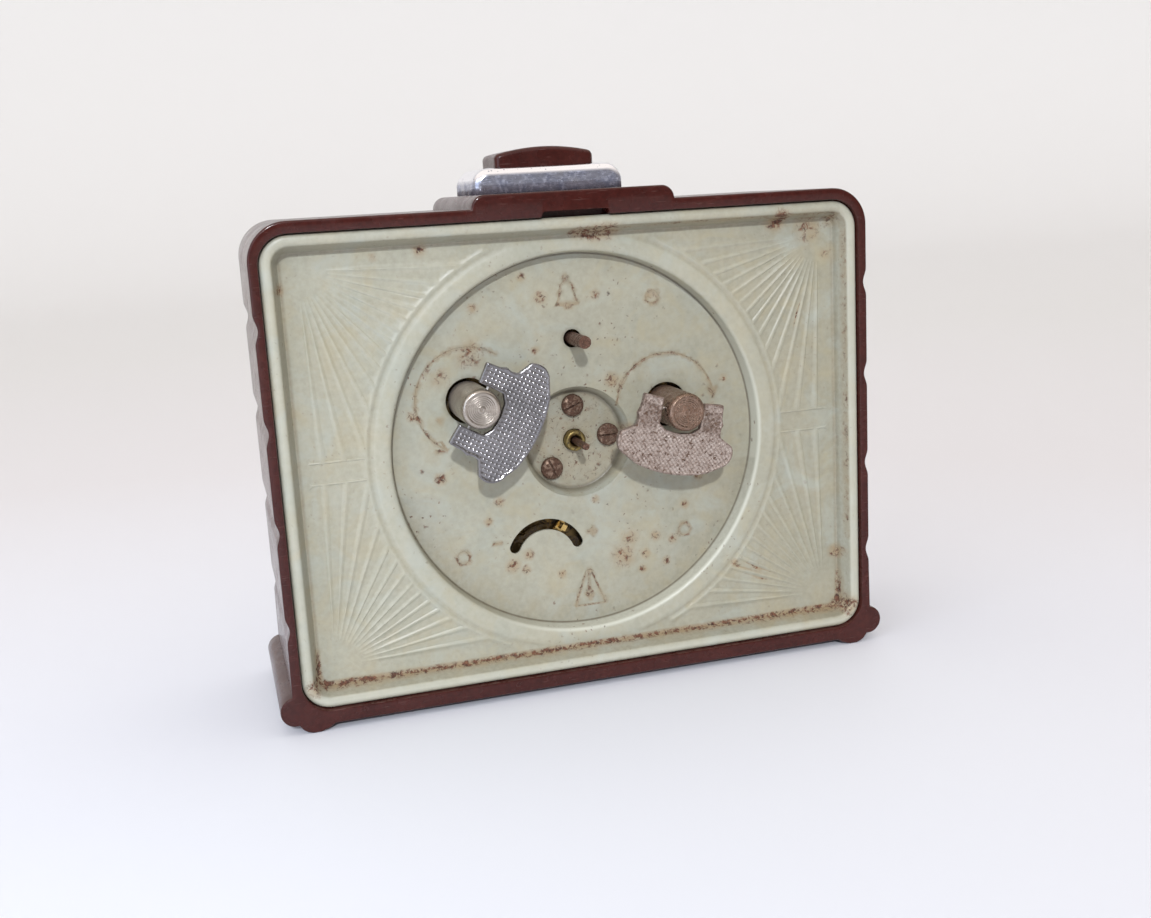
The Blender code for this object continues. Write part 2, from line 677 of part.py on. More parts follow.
def wheel(name, slot, at, teeth, pitch_r, phase, y_span, bore_r):
    module = 2.0 * pitch_r / teeth
    outline = gear_outline(teeth, pitch_r, module, phase)
    return prism(name, slot, at, outline, y_span, [circle(bore_r, 12)], smooth=False)


def arbor_with_pinion(name, at, teeth, pitch_r, phase, pinion_span, pivot_r=0.5):
    """A thin arbor between the plates with its pinion leaves fused on."""
    arbor = rod(name, "steel", at, pivot_r, (REAR_PLATE_Y[0] - 0.2, FRONT_PLATE_Y[1] + 0.2), 6)
    module = 2.0 * pitch_r / teeth
    leaves = prism(f"{name}_leaves_part", "steel", at, gear_outline(teeth, pitch_r, module, phase),
                   pinion_span, smooth=False)
    fuse(arbor, leaves)
    return arbor


def make_going_train(places):
    """Great wheel to escape wheel, each pinion phased to the wheel that drives it."""
    hub = (0.0, 0.0)
    reach = hypot(*TIME_AT)
    great_r = reach * GREAT_TEETH / (GREAT_TEETH + CENTRE_PINION_TEETH)
    wheel("time_great_wheel", "brass", TIME_AT, GREAT_TEETH, great_r, 0.0, (-7.0, -8.2), 2.4)
    phase = mesh_phase(TIME_AT, hub, 0.0, GREAT_TEETH, CENTRE_PINION_TEETH)
    rod("centre_arbor", "steel", hub, CENTRE_ARBOR_R, (20.0, -23.3), 12)
    leaf_r = TRAIN_MODULE * LEAF_COUNT / 2.0
    centre = wheel("centre_wheel", "brass", hub, CENTRE_TEETH, TRAIN_MODULE * CENTRE_TEETH / 2.0, 0.0,
                   (-1.2, -2.2), CENTRE_BORE_R)
    bore = [circle(CENTRE_BORE_R, 12)]
    fuse(centre, prism("centre_pipe_part", "brass", hub, circle(CENTRE_BORE_R + 0.4, 12), (-2.0, -7.0),
                       bore))
    pinion_r = reach - great_r
    outline = gear_outline(CENTRE_PINION_TEETH, pinion_r, 2.0 * pinion_r / CENTRE_PINION_TEETH, phase)
    fuse(centre, prism("centre_pinion_part", "brass", hub, outline, (-6.6, -8.6), bore,
                       smooth=False))
    phase = mesh_phase(hub, places["third"], 0.0, CENTRE_TEETH, LEAF_COUNT)
    arbor_with_pinion("third_arbor", places["third"], LEAF_COUNT, leaf_r, phase, (-0.8, -2.6))
    wheel("third_wheel", "brass", places["third"], THIRD_TEETH, TRAIN_MODULE * THIRD_TEETH / 2.0,
          0.0, (-4.6, -5.6), 0.8)
    phase = mesh_phase(places["third"], places["fourth"], 0.0, THIRD_TEETH, LEAF_COUNT)
    arbor_with_pinion("fourth_arbor", places["fourth"], LEAF_COUNT, leaf_r, phase, (-4.2, -6.0))
    wheel("fourth_wheel", "brass", places["fourth"], FOURTH_TEETH,
          FOURTH_MODULE * FOURTH_TEETH / 2.0, 0.0, (2.0, 1.0), 0.8)
    phase = mesh_phase(places["fourth"], places["escape"], 0.0, FOURTH_TEETH, LEAF_COUNT)
    arbor_with_pinion("escape_arbor", places["escape"], LEAF_COUNT, FOURTH_MODULE * LEAF_COUNT / 2.0,
                      phase, (2.4, 0.6))
    prism("escape_wheel", "brass", places["escape"], saw_outline(ESCAPE_TEETH, 6.4, 5.0),
          (-2.0, -3.0), [circle(0.8, 12)], smooth=False)


def make_escapement(places):
    """Pallet fork, balance with its hairspring, and the regulator behind the rear plate."""
    pallet = places["pallet"]
    towards = degrees(atan2(BALANCE_AT[1] - pallet[1], BALANCE_AT[0] - pallet[0]))
    length = hypot(BALANCE_AT[0] - pallet[0], BALANCE_AT[1] - pallet[1])
    reach = length - 3.4
    shape = [(reach, 1.4), (reach - 1.6, 1.2), (reach - 2.6, 0.5), (1.2, 0.9), (0.4, 4.2), (-1.2, 5.2),
             (-2.2, 4.6), (-1.0, 3.4), (-1.2, 0.0), (-1.0, -3.4), (-2.2, -4.6), (-1.2, -5.2),
             (0.4, -4.2), (1.2, -0.9), (reach - 2.6, -0.5), (reach - 1.6, -1.2), (reach, -1.4),
             (reach - 1.0, 0.0)]
    outline = rotated(shape, towards)
    fork = prism("pallet_fork", "steel", pallet, outline, (-2.0, -3.0), smooth=False)
    fuse(fork, rod("pallet_arbor_part", "steel", pallet, 0.5,
                   (REAR_PLATE_Y[0] - 0.2, FRONT_PLATE_Y[1] + 0.2), 6))
    staff = [(0.0, 8.9), (0.5, 8.9), (0.5, 7.0), (0.9, 6.4), (0.9, 3.2), (1.2, 2.2), (1.2, -1.6),
             (2.4, -2.0), (2.4, -3.0), (1.0, -3.4), (0.5, -5.0), (0.5, -10.1), (0.0, -10.1)]
    lathe("balance_staff", "steel", BALANCE_AT, staff, 12)
    rim_r = 9.4
    rim_in = rim_r - 1.3
    half_arm = radians(9.0)
    window = arc((0.0, 0.0), rim_in, degrees(half_arm), 180.0 - degrees(half_arm), 9)
    window += arc((0.0, 0.0), 2.4, 180.0 - 40.0, 40.0, 3)
    other = [(-x, -z) for x, z in window]
    prism("balance_wheel", "brass", BALANCE_AT, circle(rim_r, 32), (4.4, 3.5),
          [window, other, circle(1.3, 12)], smooth=False)
    turns = 2.5
    per_turn = 10
    path = []
    for i in range(int(turns * per_turn) + 1):
        share = i / (turns * per_turn)
        path.append(polar((0.0, 0.0), 1.8 + 3.8 * share, 360.0 * turns * share))
    ribbon("hairspring", "spring_steel", BALANCE_AT, path, 0.15, (6.4, 5.6))
    lever = [(2.9, -1.3), (9.0, -0.8), (9.4, 0.0), (9.0, 0.8), (2.9, 1.3)]
    ring = arc((0.0, 0.0), 3.2, 24.0, 336.0, 12)
    outline = rotated(lever + ring, REGULATOR_ANGLE)
    regulator = prism("regulator_lever", "brass", BALANCE_AT, outline, (11.0, 10.2), [circle(1.6, 12)])
    tab = [(-0.7, -0.6), (0.7, -0.6), (0.7, 0.6), (-0.7, 0.6)]
    tab = rotated([(REGULATOR_R + x, z) for x, z in tab], REGULATOR_ANGLE)
    fuse(regulator, prism("regulator_tab_part", "brass", BALANCE_AT, tab, (14.0, 10.6), smooth=False))


def hand_outline(length, tail, width, hub_r):
    """A straight hand pointing up: a hub, a bar that narrows to a point, and a short tail."""
    blade = [(width / 2.0, hub_r), (width / 2.0, length * 0.82), (0.0, length)]
    blade += [(-width / 2.0, length * 0.82), (-width / 2.0, hub_r)]
    hub = arc((0.0, 0.0), hub_r, 130.0, 250.0, 5)
    foot = [(-width / 3.0, -tail), (width / 3.0, -tail)]
    return blade + hub + foot + arc((0.0, 0.0), hub_r, -70.0, 50.0, 5)


def make_motion_work(places):
    """Cannon pinion, minute wheel, hour wheel, alarm wheel and the hands on the dial side."""
    hub = (0.0, 0.0)
    minute_at = places["minute"]
    reach = hypot(*minute_at)
    cannon_r = reach * CANNON_TEETH / (CANNON_TEETH + MINUTE_TEETH)
    wheel("cannon_pinion", "steel", hub, CANNON_TEETH, cannon_r, 0.0, (-10.7, -12.6), CENTRE_BORE_R)
    phase = mesh_phase(hub, minute_at, 0.0, CANNON_TEETH, MINUTE_TEETH)
    minute_r = reach - cannon_r
    minute = prism("minute_wheel", "brass", minute_at,
                   gear_outline(MINUTE_TEETH, minute_r, 2.0 * minute_r / MINUTE_TEETH, phase),
                   (-11.3, -12.1), smooth=False)
    pinion_r = reach - HOUR_R
    fuse(minute, prism("minute_pinion_part", "brass", minute_at,
                       gear_outline(MINUTE_PINION_TEETH, pinion_r,
                                    2.0 * pinion_r / MINUTE_PINION_TEETH, 0.0),
                       (-12.0, -14.4), smooth=False))
    fuse(minute, rod("minute_stud_part", "brass", minute_at, 0.7, (-9.4, -15.0), 6))
    phase = mesh_phase(minute_at, hub, 0.0, MINUTE_PINION_TEETH, HOUR_TEETH)
    hour = wheel("hour_wheel", "brass", hub, HOUR_TEETH, HOUR_R, phase, (-13.0, -14.0), 1.5)
    fuse(hour, prism("hour_pipe_part", "brass", hub, circle(2.2, 16), (-13.4, -21.6),
                     [circle(1.5, 12)]))
    phase = mesh_phase(hub, ALARM_SET_AT, phase, HOUR_TEETH, HOUR_TEETH)
    wheel("alarm_wheel", "brass", ALARM_SET_AT, HOUR_TEETH, HOUR_R, phase, (-13.0, -14.0), 1.8)
    hour_hand = rotated(hand_outline(24.0, 6.0, 3.6, 4.0), 55.0)
    prism("hour_hand", "hand_paint", hub, hour_hand, (-20.8, -21.3), [circle(2.5, 16)])
    minute_hand = rotated(hand_outline(36.0, 8.0, 2.8, 3.2), -60.0)
    prism("minute_hand", "hand_paint", hub, minute_hand, (-22.1, -22.6), [circle(CENTRE_BORE_R, 12)])
    rod("alarm_set_arbor", "steel", ALARM_SET_AT, 1.45, (23.5, -20.1), 12)
    alarm_hand = rotated(hand_outline(10.0, 2.6, 1.4, 2.6), 150.0)
    prism("alarm_hand", "hand_paint", ALARM_SET_AT, alarm_hand, (-19.4, -19.8), [circle(1.75, 12)])


def make_alarm_train(places):
    """Alarm great wheel, strike wheel, hammer and the gong it rings."""
    strike = places["strike"]
    great_r = STRIKE_DISTANCE * ALARM_GREAT_TEETH / (ALARM_GREAT_TEETH + STRIKE_PINION_TEETH)
    wheel("alarm_great_wheel", "brass", ALARM_AT, ALARM_GREAT_TEETH, great_r, 0.0, (-7.0, -8.2), 2.4)
    phase = mesh_phase(ALARM_AT, strike, 0.0, ALARM_GREAT_TEETH, STRIKE_PINION_TEETH)
    arbor_with_pinion("strike_arbor", strike, STRIKE_PINION_TEETH, STRIKE_DISTANCE - great_r, phase,
                      (-6.6, -8.6))
    prism("strike_wheel", "brass", strike, saw_outline(STRIKE_TEETH, 6.0, 4.8), (-3.5, -4.5),
          [circle(0.8, 12)], smooth=False)
    pivot = places["hammer"]
    head = polar((0.0, 0.0), 10.5, -65.0)
    outline = arc((0.0, 0.0), 1.7, 0.0, 230.0, 8)
    outline += arc(head, 2.0, 150.0, 440.0, 10)
    hammer = prism("alarm_hammer", "steel", pivot, outline, (-3.4, -4.6))
    fuse(hammer, rod("hammer_arbor_part", "steel", pivot, 0.6,
                     (REAR_PLATE_Y[0] - 0.2, FRONT_PLATE_Y[1] + 0.2), 6))
    gong_r = 45.5
    points = []
    steps = 24
    for i in range(steps + 1):
        x, z = polar((0.0, 0.0), gong_r, -160.0 + 195.0 * i / steps)
        points.append((x, -4.0, CENTRE_Z + z))
    wire("gong_ring", "spring_steel", points, 1.5, 1)
    post_at = polar((0.0, 0.0), gong_r + 2.8, -158.0)
    rod("gong_post", "brass", post_at, 2.2, (-5.9, FRONT_WALL_IN_Y + GAP), 12)


def make_stop_lever():
    """Lever under the button's stem, pivoted on the movement."""
    outline = [(-2.0, -1.4), (1.0, -1.8), (15.0, 4.2), (18.2, 5.0), (18.2, 7.2), (14.4, 7.2),
               (0.0, 1.8), (-2.0, 1.4)]
    lever = prism("stop_lever", "steel", LEVER_AT, outline, (-7.4, -8.6))
    fuse(lever, rod("stop_lever_pivot_part", "steel", LEVER_AT, 0.7, (-6.8, -10.1), 6))


def make_frames(places):
    """Movement plates with a hole for every arbor, the pillars between them and the bush."""
    hole = GAP + 0.1
    thin = [places[name] for name in ("third", "fourth", "escape", "pallet", "strike")]
    shared = [circle(0.5 + hole, 6, at) for at in thin + [BALANCE_AT]]
    shared += [circle(0.6 + hole, 6, places["hammer"])]
    shared += [circle(2.0 + hole, 12, at) for at in (TIME_AT, ALARM_AT)]
    shared += [circle(1.45 + hole, 12, ALARM_SET_AT)]
    shared += [circle(1.0 + hole, 8, at) for at in PILLAR_AT]
    outline = circle(PLATE_R, ROUND_STEPS)
    rear = shared + [circle(CENTRE_BUSH_R + hole, 16)]
    rear += [circle(1.5, 8, at) for at in SCREW_AT]
    rear += [circle(0.7 + hole, 6, polar(TIME_AT, CLICK_REACH, CLICK_ANGLE["time"]))]
    rear += [circle(0.7 + hole, 6, polar(ALARM_AT, CLICK_REACH, CLICK_ANGLE["alarm"]))]
    prism("rear_movement_plate", "brass", (0.0, 0.0), outline, REAR_PLATE_Y, rear, False)
    front = shared + [circle(CENTRE_ARBOR_R + hole, 10)]
    front += [circle(0.7 + hole, 6, places["minute"]), circle(0.7 + hole, 6, LEVER_AT)]
    prism("front_movement_plate", "brass", (0.0, 0.0), outline, FRONT_PLATE_Y, front, False)
    shoulder = (REAR_PLATE_Y[1] - GAP, FRONT_PLATE_Y[0] + GAP)
    for i, at in enumerate(PILLAR_AT):
        profile = [(0.0, 8.9), (1.0, 8.9), (1.0, shoulder[0]), (2.2, shoulder[0]),
                   (2.2, shoulder[1]), (1.0, shoulder[1]), (1.0, -10.1), (0.0, -10.1)]
        lathe(f"pillar_{i + 1}", "brass", at, profile, 10)
    prism("centre_bush", "brass", (0.0, 0.0), circle(CENTRE_BUSH_R, 16), (12.0, REAR_PLATE_Y[1]),
          [circle(CENTRE_BORE_R, 12)])


def main():
    clear_scene()
    places = train_places()
    make_case()
    make_back_plate()
    make_front()
    make_hood()
    make_button()
    make_back_screws()
    make_key("time", TIME_AT, "rusty_nickel", "rusty_nickel")
    make_key("alarm", ALARM_AT, "nickel", "nickel")
    make_winding_arbor("time", TIME_AT)
    make_winding_arbor("alarm", ALARM_AT)
    make_going_train(places)
    make_escapement(places)
    make_motion_work(places)
    make_alarm_train(places)
    make_stop_lever()
    make_frames(places)


main()
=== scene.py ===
"""Looks of a wind-up alarm clock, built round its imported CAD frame.

Lengths are in millimetres in the frame's own axes: the dial faces -Y and the back cover faces +Y.
Flat outlines are (x, z) pairs, measured from the hands' axis unless a comment says otherwise.
"""

import json
from math import atan2, cos, hypot, pi, radians, sin

import bmesh
import bpy
import numpy as np
from mathutils import Matrix, Vector
from mathutils.geometry import delaunay_2d_cdt


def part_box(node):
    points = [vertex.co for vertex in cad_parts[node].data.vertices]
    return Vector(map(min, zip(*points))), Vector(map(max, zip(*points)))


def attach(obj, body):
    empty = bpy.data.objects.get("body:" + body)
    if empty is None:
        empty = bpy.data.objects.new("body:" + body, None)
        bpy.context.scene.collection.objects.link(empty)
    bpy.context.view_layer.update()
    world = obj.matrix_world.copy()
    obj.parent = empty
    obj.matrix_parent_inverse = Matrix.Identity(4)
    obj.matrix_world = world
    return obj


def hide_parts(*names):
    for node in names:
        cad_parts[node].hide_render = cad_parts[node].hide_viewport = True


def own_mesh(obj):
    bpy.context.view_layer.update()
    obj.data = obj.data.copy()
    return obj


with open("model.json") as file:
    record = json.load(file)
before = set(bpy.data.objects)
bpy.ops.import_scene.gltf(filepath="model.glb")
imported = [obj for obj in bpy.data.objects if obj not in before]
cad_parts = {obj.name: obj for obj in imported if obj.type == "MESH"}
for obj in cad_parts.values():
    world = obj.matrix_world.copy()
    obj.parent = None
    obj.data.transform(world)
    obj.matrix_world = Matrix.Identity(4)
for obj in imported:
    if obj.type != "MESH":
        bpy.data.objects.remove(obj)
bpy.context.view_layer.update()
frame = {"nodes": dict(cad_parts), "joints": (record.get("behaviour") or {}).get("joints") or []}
MM = 0.001


def box(node):
    """Lowest and highest corner of a CAD node, in mm."""
    low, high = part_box(node)
    return low / MM, high / MM


def middle(node):
    low, high = box(node)
    return (low + high) / 2.0


# ---------- sizes taken from the frame
CASE_LOW, CASE_HIGH = box("case")
COVER_LOW, COVER_HIGH = box("back_plate")
BEZEL_LOW, BEZEL_HIGH = box("bezel")
CRYSTAL_LOW, CRYSTAL_HIGH = box("crystal")
DIAL_Y = box("dial")[0].y
HOOD_LOW, HOOD_HIGH = box("top_hood")
BUTTON_LOW, BUTTON_HIGH = box("stop_button")

RIM_SIDE = 2.1
RIM_TOP = 2.6
RIM_BOTTOM = 3.2
COVER_GAP = 0.35
REAR_Y = CASE_HIGH.y
FRONT_Y = CASE_LOW.y
LEDGE_Y = COVER_LOW.y + 8.6
HALF_W = COVER_HIGH.x + COVER_GAP + RIM_SIDE
BASE_Z = COVER_LOW.z - COVER_GAP - RIM_BOTTOM
TOP_Z = COVER_HIGH.z + COVER_GAP + RIM_TOP
PLINTH_HALF = 22.9
PLINTH_H = CASE_HIGH.z - TOP_Z
CENTRE_Z = middle("dial").z

BEAD_Y = COVER_HIGH.y
FIELD_Y = BEAD_Y - 4.4
RECESS_Y = BEAD_Y - 7.9
CUP_Y = BEAD_Y - 11.4
SHEET = 0.6
FIELD_INSET = 4.7              # where the cover's flat field starts, from its edge
RECESS_R = 43.7
CASE_CORNER_R = 8.5
BAND_R = 47.3                  # outside of the raised band round the recess
RING_R = 49.1                  # thin ring that the rays end on
RECESS_RINGS = (11.1, 11.5, 11.9, 12.5, 12.9, 13.4, 42.8, 43.1, 43.3, 43.5, 43.7, 43.95)
BAND_RINGS = (44.5, BAND_R, 47.9)


def from_axis(node):
    """A node's middle as (x, z) from the hands' axis."""
    at = middle(node)
    return (at.x, at.z - CENTRE_Z)


TIME_AT = from_axis("time_key_boss")
ALARM_AT = from_axis("alarm_key_boss")
ALARM_SET_AT = from_axis("alarm_set_arbor")
SCREW_AT = [from_axis(f"back_screw_{i}") for i in (1, 2, 3)]
BALANCE_AT = from_axis("balance_wheel")
REGULATOR_R = 8.2
REGULATOR_SLOT = (25.0, 158.0)
SLOT_HALF = 1.3
JOINTS = {joint["name"]: joint for joint in frame["joints"]}


# ---------- material graphs
class Graph:
    """A node tree, and short ways to feed its sockets."""

    def __init__(self, tree):
        self.tree = tree

    def node(self, kind, **settings):
        made = self.tree.nodes.new(kind)
        for key, value in settings.items():
            setattr(made, key, value)
        return made

    def feed(self, socket, value):
        """Sets a socket from another node's output or from a constant."""
        if isinstance(value, bpy.types.NodeSocket):
            self.tree.links.new(value, socket)
        else:
            socket.default_value = value

    def ramp(self, value, *stops):
        """Stops are (position, value or colour)."""
        made = self.node("ShaderNodeValToRGB")
        self.feed(made.inputs["Fac"], value)
        elements = made.color_ramp.elements
        while len(elements) < len(stops):
            elements.new(0.5)
        for element, (position, colour) in zip(elements, stops):
            element.position = position
            if isinstance(colour, (int, float)):
                colour = (colour, colour, colour)
            element.color = (*colour, 1.0)
        return made.outputs["Color"]

    def rise(self, value, low, high, top=1.0):
        """0 below low, top above high."""
        return self.ramp(value, (low, 0.0), (high, top))

    def fall(self, value, low, high, top=1.0):
        """Top below low, 0 above high."""
        return self.ramp(value, (low, top), (high, 0.0))

    def math(self, operation, first, second, clamp=False):
        made = self.node("ShaderNodeMath", operation=operation, use_clamp=clamp)
        self.feed(made.inputs[0], first)
        self.feed(made.inputs[1], second)
        return made.outputs["Value"]

    def times(self, first, second):
        return self.math("MULTIPLY", first, second)

    def plus(self, first, second, clamp=False):
        return self.math("ADD", first, second, clamp)

    def most(self, first, second):
        return self.math("MAXIMUM", first, second)

    def mix(self, share, first, second, blend="MIX"):
        made = self.node("ShaderNodeMix", data_type="RGBA", blend_type=blend)
        for socket, value in ((made.inputs[0], share), (made.inputs[6], first), (made.inputs[7], second)):
            self.feed(socket, (*value, 1.0) if isinstance(value, tuple) else value)
        return made.outputs[2]

    def vector(self, operation, first, second):
        """Vector maths; a distance comes out as a value."""
        made = self.node("ShaderNodeVectorMath", operation=operation)
        self.feed(made.inputs[0], first)
        self.feed(made.inputs["Scale" if operation == "SCALE" else 1], second)
        return made.outputs["Value" if operation == "DISTANCE" else "Vector"]

    def axis(self, vector, name):
        """A vector's X, Y or Z."""
        made = self.node("ShaderNodeSeparateXYZ")
        self.feed(made.inputs[0], vector)
        return made.outputs[name]


class Surface(Graph):
    """A Principled material; patterns follow the piece's own coordinates."""

    def __init__(self, name):
        self.material = bpy.data.materials.new(name)
        self.material.use_nodes = True
        super().__init__(self.material.node_tree)
        self.shader = self.tree.nodes["Principled BSDF"]
        self.place = self.node("ShaderNodeTexCoord").outputs["Object"]

    def noise(self, size, detail=3.0, where=None, distortion=0.0, rough=0.55, output="Fac"):
        """Noise with features about size mm across."""
        made = self.node("ShaderNodeTexNoise")
        self.feed(made.inputs["Vector"], where or self.place)
        made.inputs["Scale"].default_value = 1.0 / (size * MM)
        made.inputs["Detail"].default_value = detail
        made.inputs["Distortion"].default_value = distortion
        made.inputs["Roughness"].default_value = rough
        return made.outputs[output]

    def dots(self, size, edge, share, where=None, top=1.0):
        """Dots in cells about size mm across: where each one fades out, and which cells have one."""
        made = self.node("ShaderNodeTexVoronoi")
        self.feed(made.inputs["Vector"], where or self.place)
        made.inputs["Scale"].default_value = 1.0 / (size * MM)
        return self.times(self.fall(made.outputs["Distance"], *edge),
                          self.rise(made.outputs["Color"], *share, top))

    def scratches(self, size, turns, low, high):
        """Thin straight scratches in several directions, 1 on a scratch and 0 beside it."""
        total = None
        for turn in turns:
            made = self.node("ShaderNodeMapping")
            self.feed(made.inputs["Vector"], self.place)
            made.inputs["Rotation"].default_value = [radians(a) for a in turn]
            made.inputs["Scale"].default_value = (0.06, 1.0, 1.0)
            line = self.rise(self.noise(size, 2.0, made.outputs["Vector"]), low, high)
            total = line if total is None else self.most(total, line)
        return total

    def painted(self, name):
        """A value painted on the mesh's points."""
        return self.node("ShaderNodeAttribute", attribute_name=name).outputs["Fac"]

    def upward(self):
        """How far the surface faces up."""
        return self.axis(self.node("ShaderNodeNewGeometry").outputs["Normal"], "Z")

    def finish(self, colour, roughness, height=None, depth=0.02, **others):
        """Feeds the shader; depth is the bump's height in mm."""
        if height is not None:
            bump = self.node("ShaderNodeBump")
            bump.inputs["Strength"].default_value = 1.0
            bump.inputs["Distance"].default_value = depth * MM
            self.feed(bump.inputs["Height"], height)
            others["Normal"] = bump.outputs["Normal"]
        for key, value in {"Base_Color": colour, "Roughness": roughness, **others}.items():
            self.feed(self.shader.inputs[key.replace("_", " ")], value)
        return self.material


def bakelite():
    """Brown phenolic moulding: faint mottling, polish worn dull in places, a little dust on top."""
    g = Surface("bakelite_look")
    mottle = g.noise(0.9, 4.0)
    brown = g.ramp(g.noise(18.0, 4.0, distortion=0.8), (0.30, (0.040, 0.0071, 0.0054)),
                   (0.70, (0.055, 0.0113, 0.0083)))
    dark = g.ramp(mottle, (0.36, (0.78, 0.76, 0.76)), (0.64, (1.16, 1.14, 1.14)))
    colour = g.mix(0.8, brown, dark, "MULTIPLY")
    dust = g.times(g.rise(g.upward(), 0.55, 1.0, 0.14), g.ramp(g.noise(2.4, 5.0), (0.42, 0.15), (0.66, 1.0)))
    colour = g.mix(dust, colour, (0.26, 0.19, 0.15))
    lines = g.scratches(0.30, ((0, 20, 35), (0, -50, 10)), 0.68, 0.74)
    colour = g.mix(g.times(lines, 0.20), colour, (0.22, 0.12, 0.10))
    rough = g.ramp(g.noise(5.0, 5.0), (0.35, 0.20), (0.70, 0.33))
    rough = g.plus(g.plus(rough, g.times(lines, 0.18)), g.times(dust, 0.9), clamp=True)
    height = g.plus(g.times(g.noise(0.3, 2.0), 0.5), g.times(mottle, 0.4))
    return g.finish(colour, rough, height, 0.012, Specular_IOR_Level=0.22, Coat_Weight=0.22,
                    Coat_Roughness=0.10)


def cover_paint():
    """Pale grey-green enamel on pressed steel: stains, pits, rust in the groove and in spots."""
    g = Surface("cover_paint_look")
    cloud = g.noise(16.0, 4.0, distortion=0.6)
    fine = g.noise(1.3, 4.0)
    colour = g.ramp(cloud, (0.32, (0.400, 0.398, 0.322)), (0.55, (0.428, 0.412, 0.325)),
                    (0.74, (0.435, 0.400, 0.295)))
    shade = g.ramp(fine, (0.30, (0.90, 0.90, 0.88)), (0.65, (1.04, 1.04, 1.04)))
    colour = g.mix(1.0, colour, shade, "MULTIPLY")
    # Painted shade: the cover is made darker and warmer towards -X, away from the window light, and lighter
    # towards +X.
    painted_side_shade = g.plus(g.times(g.axis(g.place, "X"), 7.0), 0.5)
    tone = g.ramp(g.plus(painted_side_shade, g.times(cloud, 0.5)), (0.15, (0.73, 0.70, 0.655)),
                  (0.95, (0.89, 0.885, 0.875)))
    colour = g.mix(1.0, colour, tone, "MULTIPLY")
    stain = g.rise(g.noise(7.0, 5.0, distortion=1.2), 0.48, 0.70, 0.42)
    colour = g.mix(stain, colour, (0.385, 0.330, 0.205))
    cool = g.rise(g.noise(11.0, 4.0, distortion=0.9), 0.50, 0.68, 0.45)
    colour = g.mix(cool, colour, (0.385, 0.415, 0.375))
    across = g.vector("MULTIPLY", g.place, (1.0, 0.0, 1.0))
    from_middle = g.vector("DISTANCE", across, (0.0, 0.0, CENTRE_Z * MM))
    # Dark lines at the foot of the recess wall and round the cup's edge: painted shade in these creases, with
    # some dirt.
    for radius, half_width, share in ((43.05, 0.30, 0.88), (11.5, 0.85, 0.70)):
        off = g.math("ABSOLUTE", g.math("SUBTRACT", from_middle, radius * MM), 0.0)
        line = g.fall(g.math("DIVIDE", off, half_width * MM), 0.30, 1.0, share)
        line = g.times(line, g.ramp(g.noise(1.2, 4.0), (0.25, 0.75), (0.6, 1.0)))
        colour = g.mix(line, colour, (0.105, 0.085, 0.055))
    # A pale mix: worn paint on raised lines, and painted highlight on the lit recess wall and on the bead.
    colour = g.mix(g.times(g.painted("wear_and_highlight"), 0.55), colour, (0.56, 0.56, 0.47))
    # A dark brown mix: real dirt in places, and painted shade in the cover's creases, on the bead's shaded
    # slope, in the recess and in the cup.
    grime_and_shade = g.times(g.painted("grime_and_shade"), g.ramp(g.noise(0.9, 5.0), (0.25, 0.35), (0.62, 1.0)))
    colour = g.mix(grime_and_shade, colour, (0.125, 0.100, 0.060))
    inner = g.ramp(from_middle, (43.0 * MM, 1.0), (44.0 * MM, 0.30))
    # Painted shade: the recess floor is made a little darker than the field.
    colour = g.mix(g.times(inner, 0.10), colour, (0.20, 0.19, 0.14))
    shift = g.noise(1.1, 2.0, rough=0.5, output="Color")
    wobble = g.vector("ADD", g.place, g.vector("SCALE", shift, 1.5 * MM))
    spot = g.times(g.dots(4.2, (0.05, 0.15), (0.46, 0.50), wobble), inner)
    pit = g.dots(1.3, (0.10, 0.22), (0.60, 0.64), wobble)
    zone = g.painted("rust")
    patchy = g.rise(g.noise(1.4, 6.0, distortion=0.6, rough=0.7), 0.40, 0.66)
    halo = g.rise(g.times(zone, g.noise(3.0, 4.0)), 0.05, 0.36, 0.62)
    colour = g.mix(halo, colour, (0.30, 0.205, 0.105))
    often = g.times(g.rise(g.noise(20.0, 2.0), 0.44, 0.60, 0.85), inner)
    cup = g.fall(from_middle, 10.5 * MM, 12.3 * MM, 0.85)
    fleck = g.rise(g.noise(0.75, 4.0, rough=0.7), 0.60, 0.64)
    bad = g.rise(g.times(zone, patchy), 0.15, 0.42)
    for layer in (g.times(spot, 0.8), g.times(pit, often), g.times(fleck, cup)):
        bad = g.most(bad, layer)
    rust = g.ramp(g.noise(0.7, 4.0), (0.34, (0.038, 0.020, 0.015)), (0.52, (0.115, 0.048, 0.029)),
                  (0.70, (0.200, 0.093, 0.050)))
    colour = g.mix(bad, colour, rust)
    rough = g.plus(g.ramp(fine, (0.30, 0.33), (0.70, 0.46)), g.times(bad, 0.45), clamp=True)
    height = g.plus(g.times(fine, 0.35), g.times(g.noise(0.4, 2.0), 0.12))
    height = g.math("SUBTRACT", height, g.times(bad, g.noise(0.3, 3.0)))
    return g.finish(colour, rough, height, 0.045)


